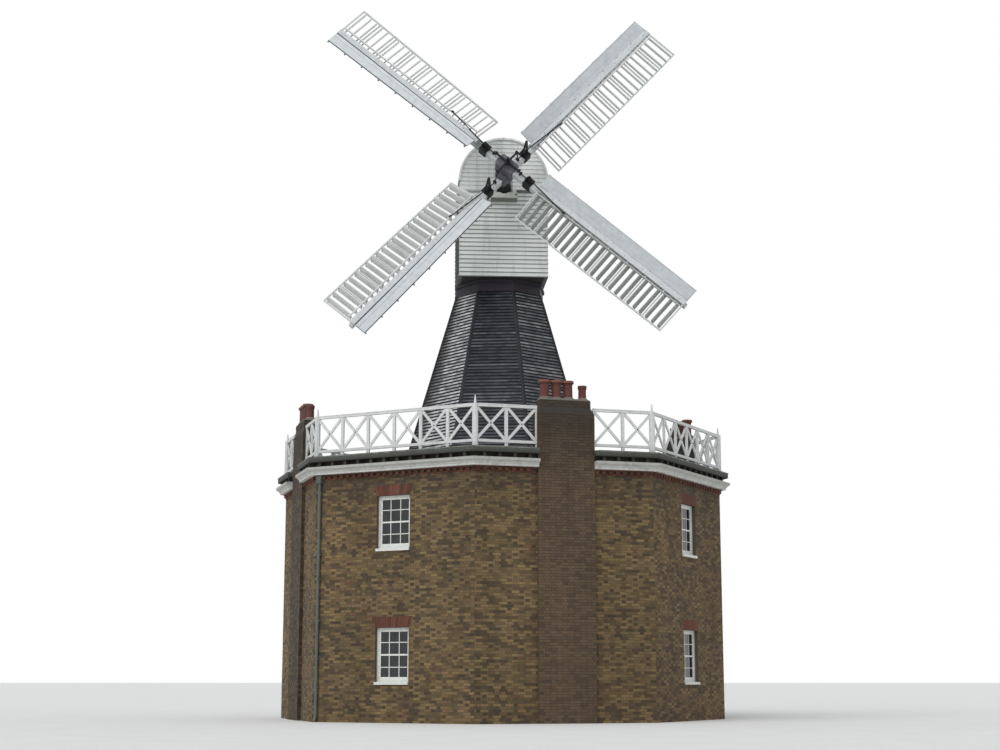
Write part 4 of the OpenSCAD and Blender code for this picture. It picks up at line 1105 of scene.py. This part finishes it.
def sail_ironwork():
    """Painted bolts and straps that hold whips to stocks, and wedges in the poll end."""
    bolts, wedges = Batch(131), Batch(132)
    front = STOCK_D / 2 + 0.12
    for k in range(4):
        place = sail(k)
        for i, r in enumerate((1.24, 1.75, 2.42, 3.1, 3.78, 4.46, 5.14, 5.82, 6.5)):
            share = r / STOCK_R
            back = -STOCK_D / 2 + (STOCK_D - STOCK_TIP) * share
            half = (STOCK_W + (STOCK_TIP - STOCK_W) * share) / 2
            bolts.bolt(place, (r, 0, front), (0, 0, 1), 0.03)
            bolts.bolt(place, (r, 0, back), (0, 0, -1), 0.03)
            if i % 3:
                continue
            x0, x1, under, side = r + 0.07, r + 0.13, back - 0.008, half + 0.008
            for s in (1, -1):
                y0, y1 = sorted((s * (half - 0.001), s * side))
                bolts.block(place, (x0, y0, under), (x1, y1, STOCK_D / 2 + 0.01))
            bolts.block(place, (x0, -side, under), (x1, side, back))
            bolts.block(place, (x0, -0.088, front - 0.001), (x1, 0.088, front + 0.008))
        for s in (1, -1):
            y0, y1 = sorted((s * 0.08, s * 0.12))
            foot = STOCK_D / 2
            wedges.loft(place, [((x, y0, foot), (x, y1, foot), (x, y1, foot + h), (x, y0, foot + h))
                                for x, h in ((0.28, 0.03), (0.4, 0.045))])
    bolts.make("sail_bolts_and_straps", "sails", sail_paint, "sail_timber")
    wedges.make("poll_wedges", "sails", sail_paint, "sail_timber")


# Tones of the four boards: painted light, as each faces the light, with the age of their paint; the upper
# left board is the palest and the lower right one the greyest
LEADING_SAIL_LIGHT = (0.72, 0.46, 0.28, 0.39)
# Height of a leading board's front above the middle of the sail bars
LEADING_FRONT = 0.047


def leading_planks():
    """Two thin planks on each leading board, the inner one proud, with a batten on the outer edge.

    On the two left-hand sails the seam beside the whip and the batten's outer half are black, as painted
    shade.
    """
    shade_strips = Batch(145)
    for k in range(4):
        planks, tone, shaded_pair = Batch(141 + k), LEADING_SAIL_LIGHT[k], k < 2
        long_strip(planks, k, 0.136 if shaded_pair else 0.102, 0.245, 0.011, tone + planks.vary(0.05))
        long_strip(planks, k, 0.25, 0.488, 0.004, tone + planks.vary(0.05))
        batten = (0.486, 0.495) if shaded_pair else (0.488, 0.512)
        long_strip(planks, k, *batten, 0.014, tone)
        if shaded_pair:
            long_strip(shade_strips, k, 0.104, 0.13, 0.003)
            long_strip(shade_strips, k, 0.495, 0.512, 0.014)
        planks.make(f"leading_planks_{k + 1}", "sails", lead_paint, "sail_timber")
    shade_strips.make("leading_board_shade_strips", "sails", seam_shade, "sail_timber")


def long_strip(batch, k, y0, y1, thick, tone=None):
    """A strip that twists with a leading board, from heel to tip."""
    steps, back = 24, LEADING_FRONT - 0.002
    start, length = HEEL_R - 0.056, TIP_R - HEEL_R + 0.062
    front = LEADING_FRONT + thick
    rings = []
    for i in range(steps + 1):
        spin = blade(k, start + length * i / steps)
        rings.append([spin @ Vector((0, *p)) for p in ((y0, back), (y1, back), (y1, front), (y0, front))])
    batch.loft(Matrix(), rings, tone)


SLAT_IN, SLAT_OUT = -0.155, -(SHUTTER_SIDE - 0.057)
SLAT_HALF, SLAT_FACE = 0.215 / 2, 0.008
SHUTTER_OPEN = math.radians(107)
STICK = 0.022
# Tones of the shutters' frames on each sail: painted light and shade, the lower right sail's the darkest
SHUTTER_SAIL_SHADE = (0.9, 0.7, 0.0, 0.45)


def shutter_details():
    """Stretcher frames round each shutter's canvas and the pins that it turns on."""
    for k in range(4):
        sticks, links = Batch(151 + k), Batch(161 + k)
        for i in range(SAIL_BAYS * BAY_SHUTTERS):
            spot = blade(k, HEEL_R + (i + 0.5) * BAY_L / BAY_SHUTTERS) @ turned(-SHUTTER_OPEN, "Y")
            tone = SHUTTER_SAIL_SHADE[k] + sticks.vary(0.1)
            for s in (1, -1):
                z0, z1 = sorted((s * SLAT_FACE, s * (SLAT_FACE + 0.005)))
                for x0 in (-SLAT_HALF, -STICK / 2, SLAT_HALF - STICK):
                    sticks.block(spot, (x0, SLAT_OUT, z0), (x0 + STICK, SLAT_IN, z1), tone)
                for y0 in (SLAT_OUT, SLAT_IN - STICK):
                    sticks.block(spot, (-SLAT_HALF, y0, z0), (SLAT_HALF, y0 + STICK, z1), tone)
            for y0, y1 in ((SLAT_OUT - 0.03, SLAT_OUT + 0.01), (SLAT_IN - 0.01, -0.078)):
                links.rod(spot, (0, y0, 0), (0, y1, 0), 0.008, sides=8)
        sticks.make(f"shutter_frames_{k + 1}", "sails", shutter_paint, "sail_timber")
        links.make(f"shutter_pins_{k + 1}", "sails", black_iron, "black_iron")


def bar_ends():
    """Ends of the sail bars past the leading boards: dark on the two left-hand sails, painted on two."""
    bare, painted = Batch(171), Batch(172)
    low, high = (-0.021, LEADING_SIDE + 0.014, -0.021), (0.021, LEADING_SIDE + 0.02, 0.021)
    for k in range(4):
        ends = bare if k < 2 else painted
        for i in range(SAIL_BAYS + 1):
            ends.block(blade(k, HEEL_R + i * BAY_L), low, high)
    bare.make("dark_bar_ends", "sails", black_iron, "sail_timber")
    painted.make("painted_bar_ends", "sails", sail_paint, "sail_timber")


# The room, the light and the camera


def studio():
    """Soft white light from all round, one broad lamp and a pale floor."""
    scene = bpy.context.scene
    scene.view_settings.view_transform = "Standard"
    world = bpy.data.worlds.new("soft_white_room")
    scene.world = world
    world.use_nodes = True
    tree = world.node_tree
    tree.nodes.clear()
    rays = put(tree, "LightPath").outputs
    seen = rays["Is Camera Ray"]
    for kind in ("Is Glossy Ray", "Is Transmission Ray"):
        seen = put(tree, "Math", (seen, rays[kind]), operation="MAXIMUM")
    light = put(tree, "Background", {"Color": paint("#eef1f5"), "Strength": 0.62})
    white = put(tree, "Background", {"Color": paint("#ffffff"), "Strength": 1.0})
    mixed = put(tree, "MixShader", (seen, light, white))
    put(tree, "OutputWorld", {"Surface": mixed})
    lamp = bpy.data.lights.new("soft_key", "SUN")
    lamp.energy = 1.3
    lamp.angle = math.radians(50)
    placed("soft_key", lamp).rotation_euler = (math.radians(48), 0, math.radians(-28))

    mesh = bpy.data.meshes.new("floor")
    reach = 900
    corners = [(-reach, -reach, 0), (reach, -reach, 0), (reach, reach, 0), (-reach, reach, 0)]
    mesh.from_pydata(corners, [], [(0, 1, 2, 3)])
    floor_finish, tree, where = new_finish("pale_floor")
    mottle = put(tree, "TexNoise", {"Scale": 0.8, "Detail": 3.0, "Vector": where})
    colour = put(tree, "ValToRGB", {"Fac": mottle}, ((0.4, "#ebebe9"), (0.6, "#eeeeec")))
    surface = put(tree, "BsdfPrincipled", {"Roughness": 0.9, "Base Color": colour})
    put(tree, "OutputMaterial", {"Surface": surface})
    mesh.materials.append(floor_finish)
    floor = placed("floor", mesh)


def camera():
    """From the photograph's place, with a longer lens so that the whole mill fills the picture."""
    lens = bpy.data.cameras.new("camera")
    lens.sensor_width = 36
    lens.lens = 60.0
    lens.clip_end = 2000
    eye = placed("camera", lens)
    side, away = math.radians(5.75), 50.4
    eye.location = (away * math.sin(side), -away * math.cos(side), 1.1)
    aim = Vector((0.0, 0.0, 10.35)) - eye.location
    eye.rotation_euler = aim.to_track_quat("-Z", "Y").to_euler()
    bpy.context.scene.camera = eye


for build in (
        camera, studio, dress_nodes, base_brickwork, stack_brickwork, pot_flaunching, window_bars,
        doors, deck_planks, railing_bolts, tower_weatherboards, tower_trim, cap_boards,
        cap_roof_boards, cap_trim, sail_ironwork, leading_planks, shutter_details, bar_ends):
    build()
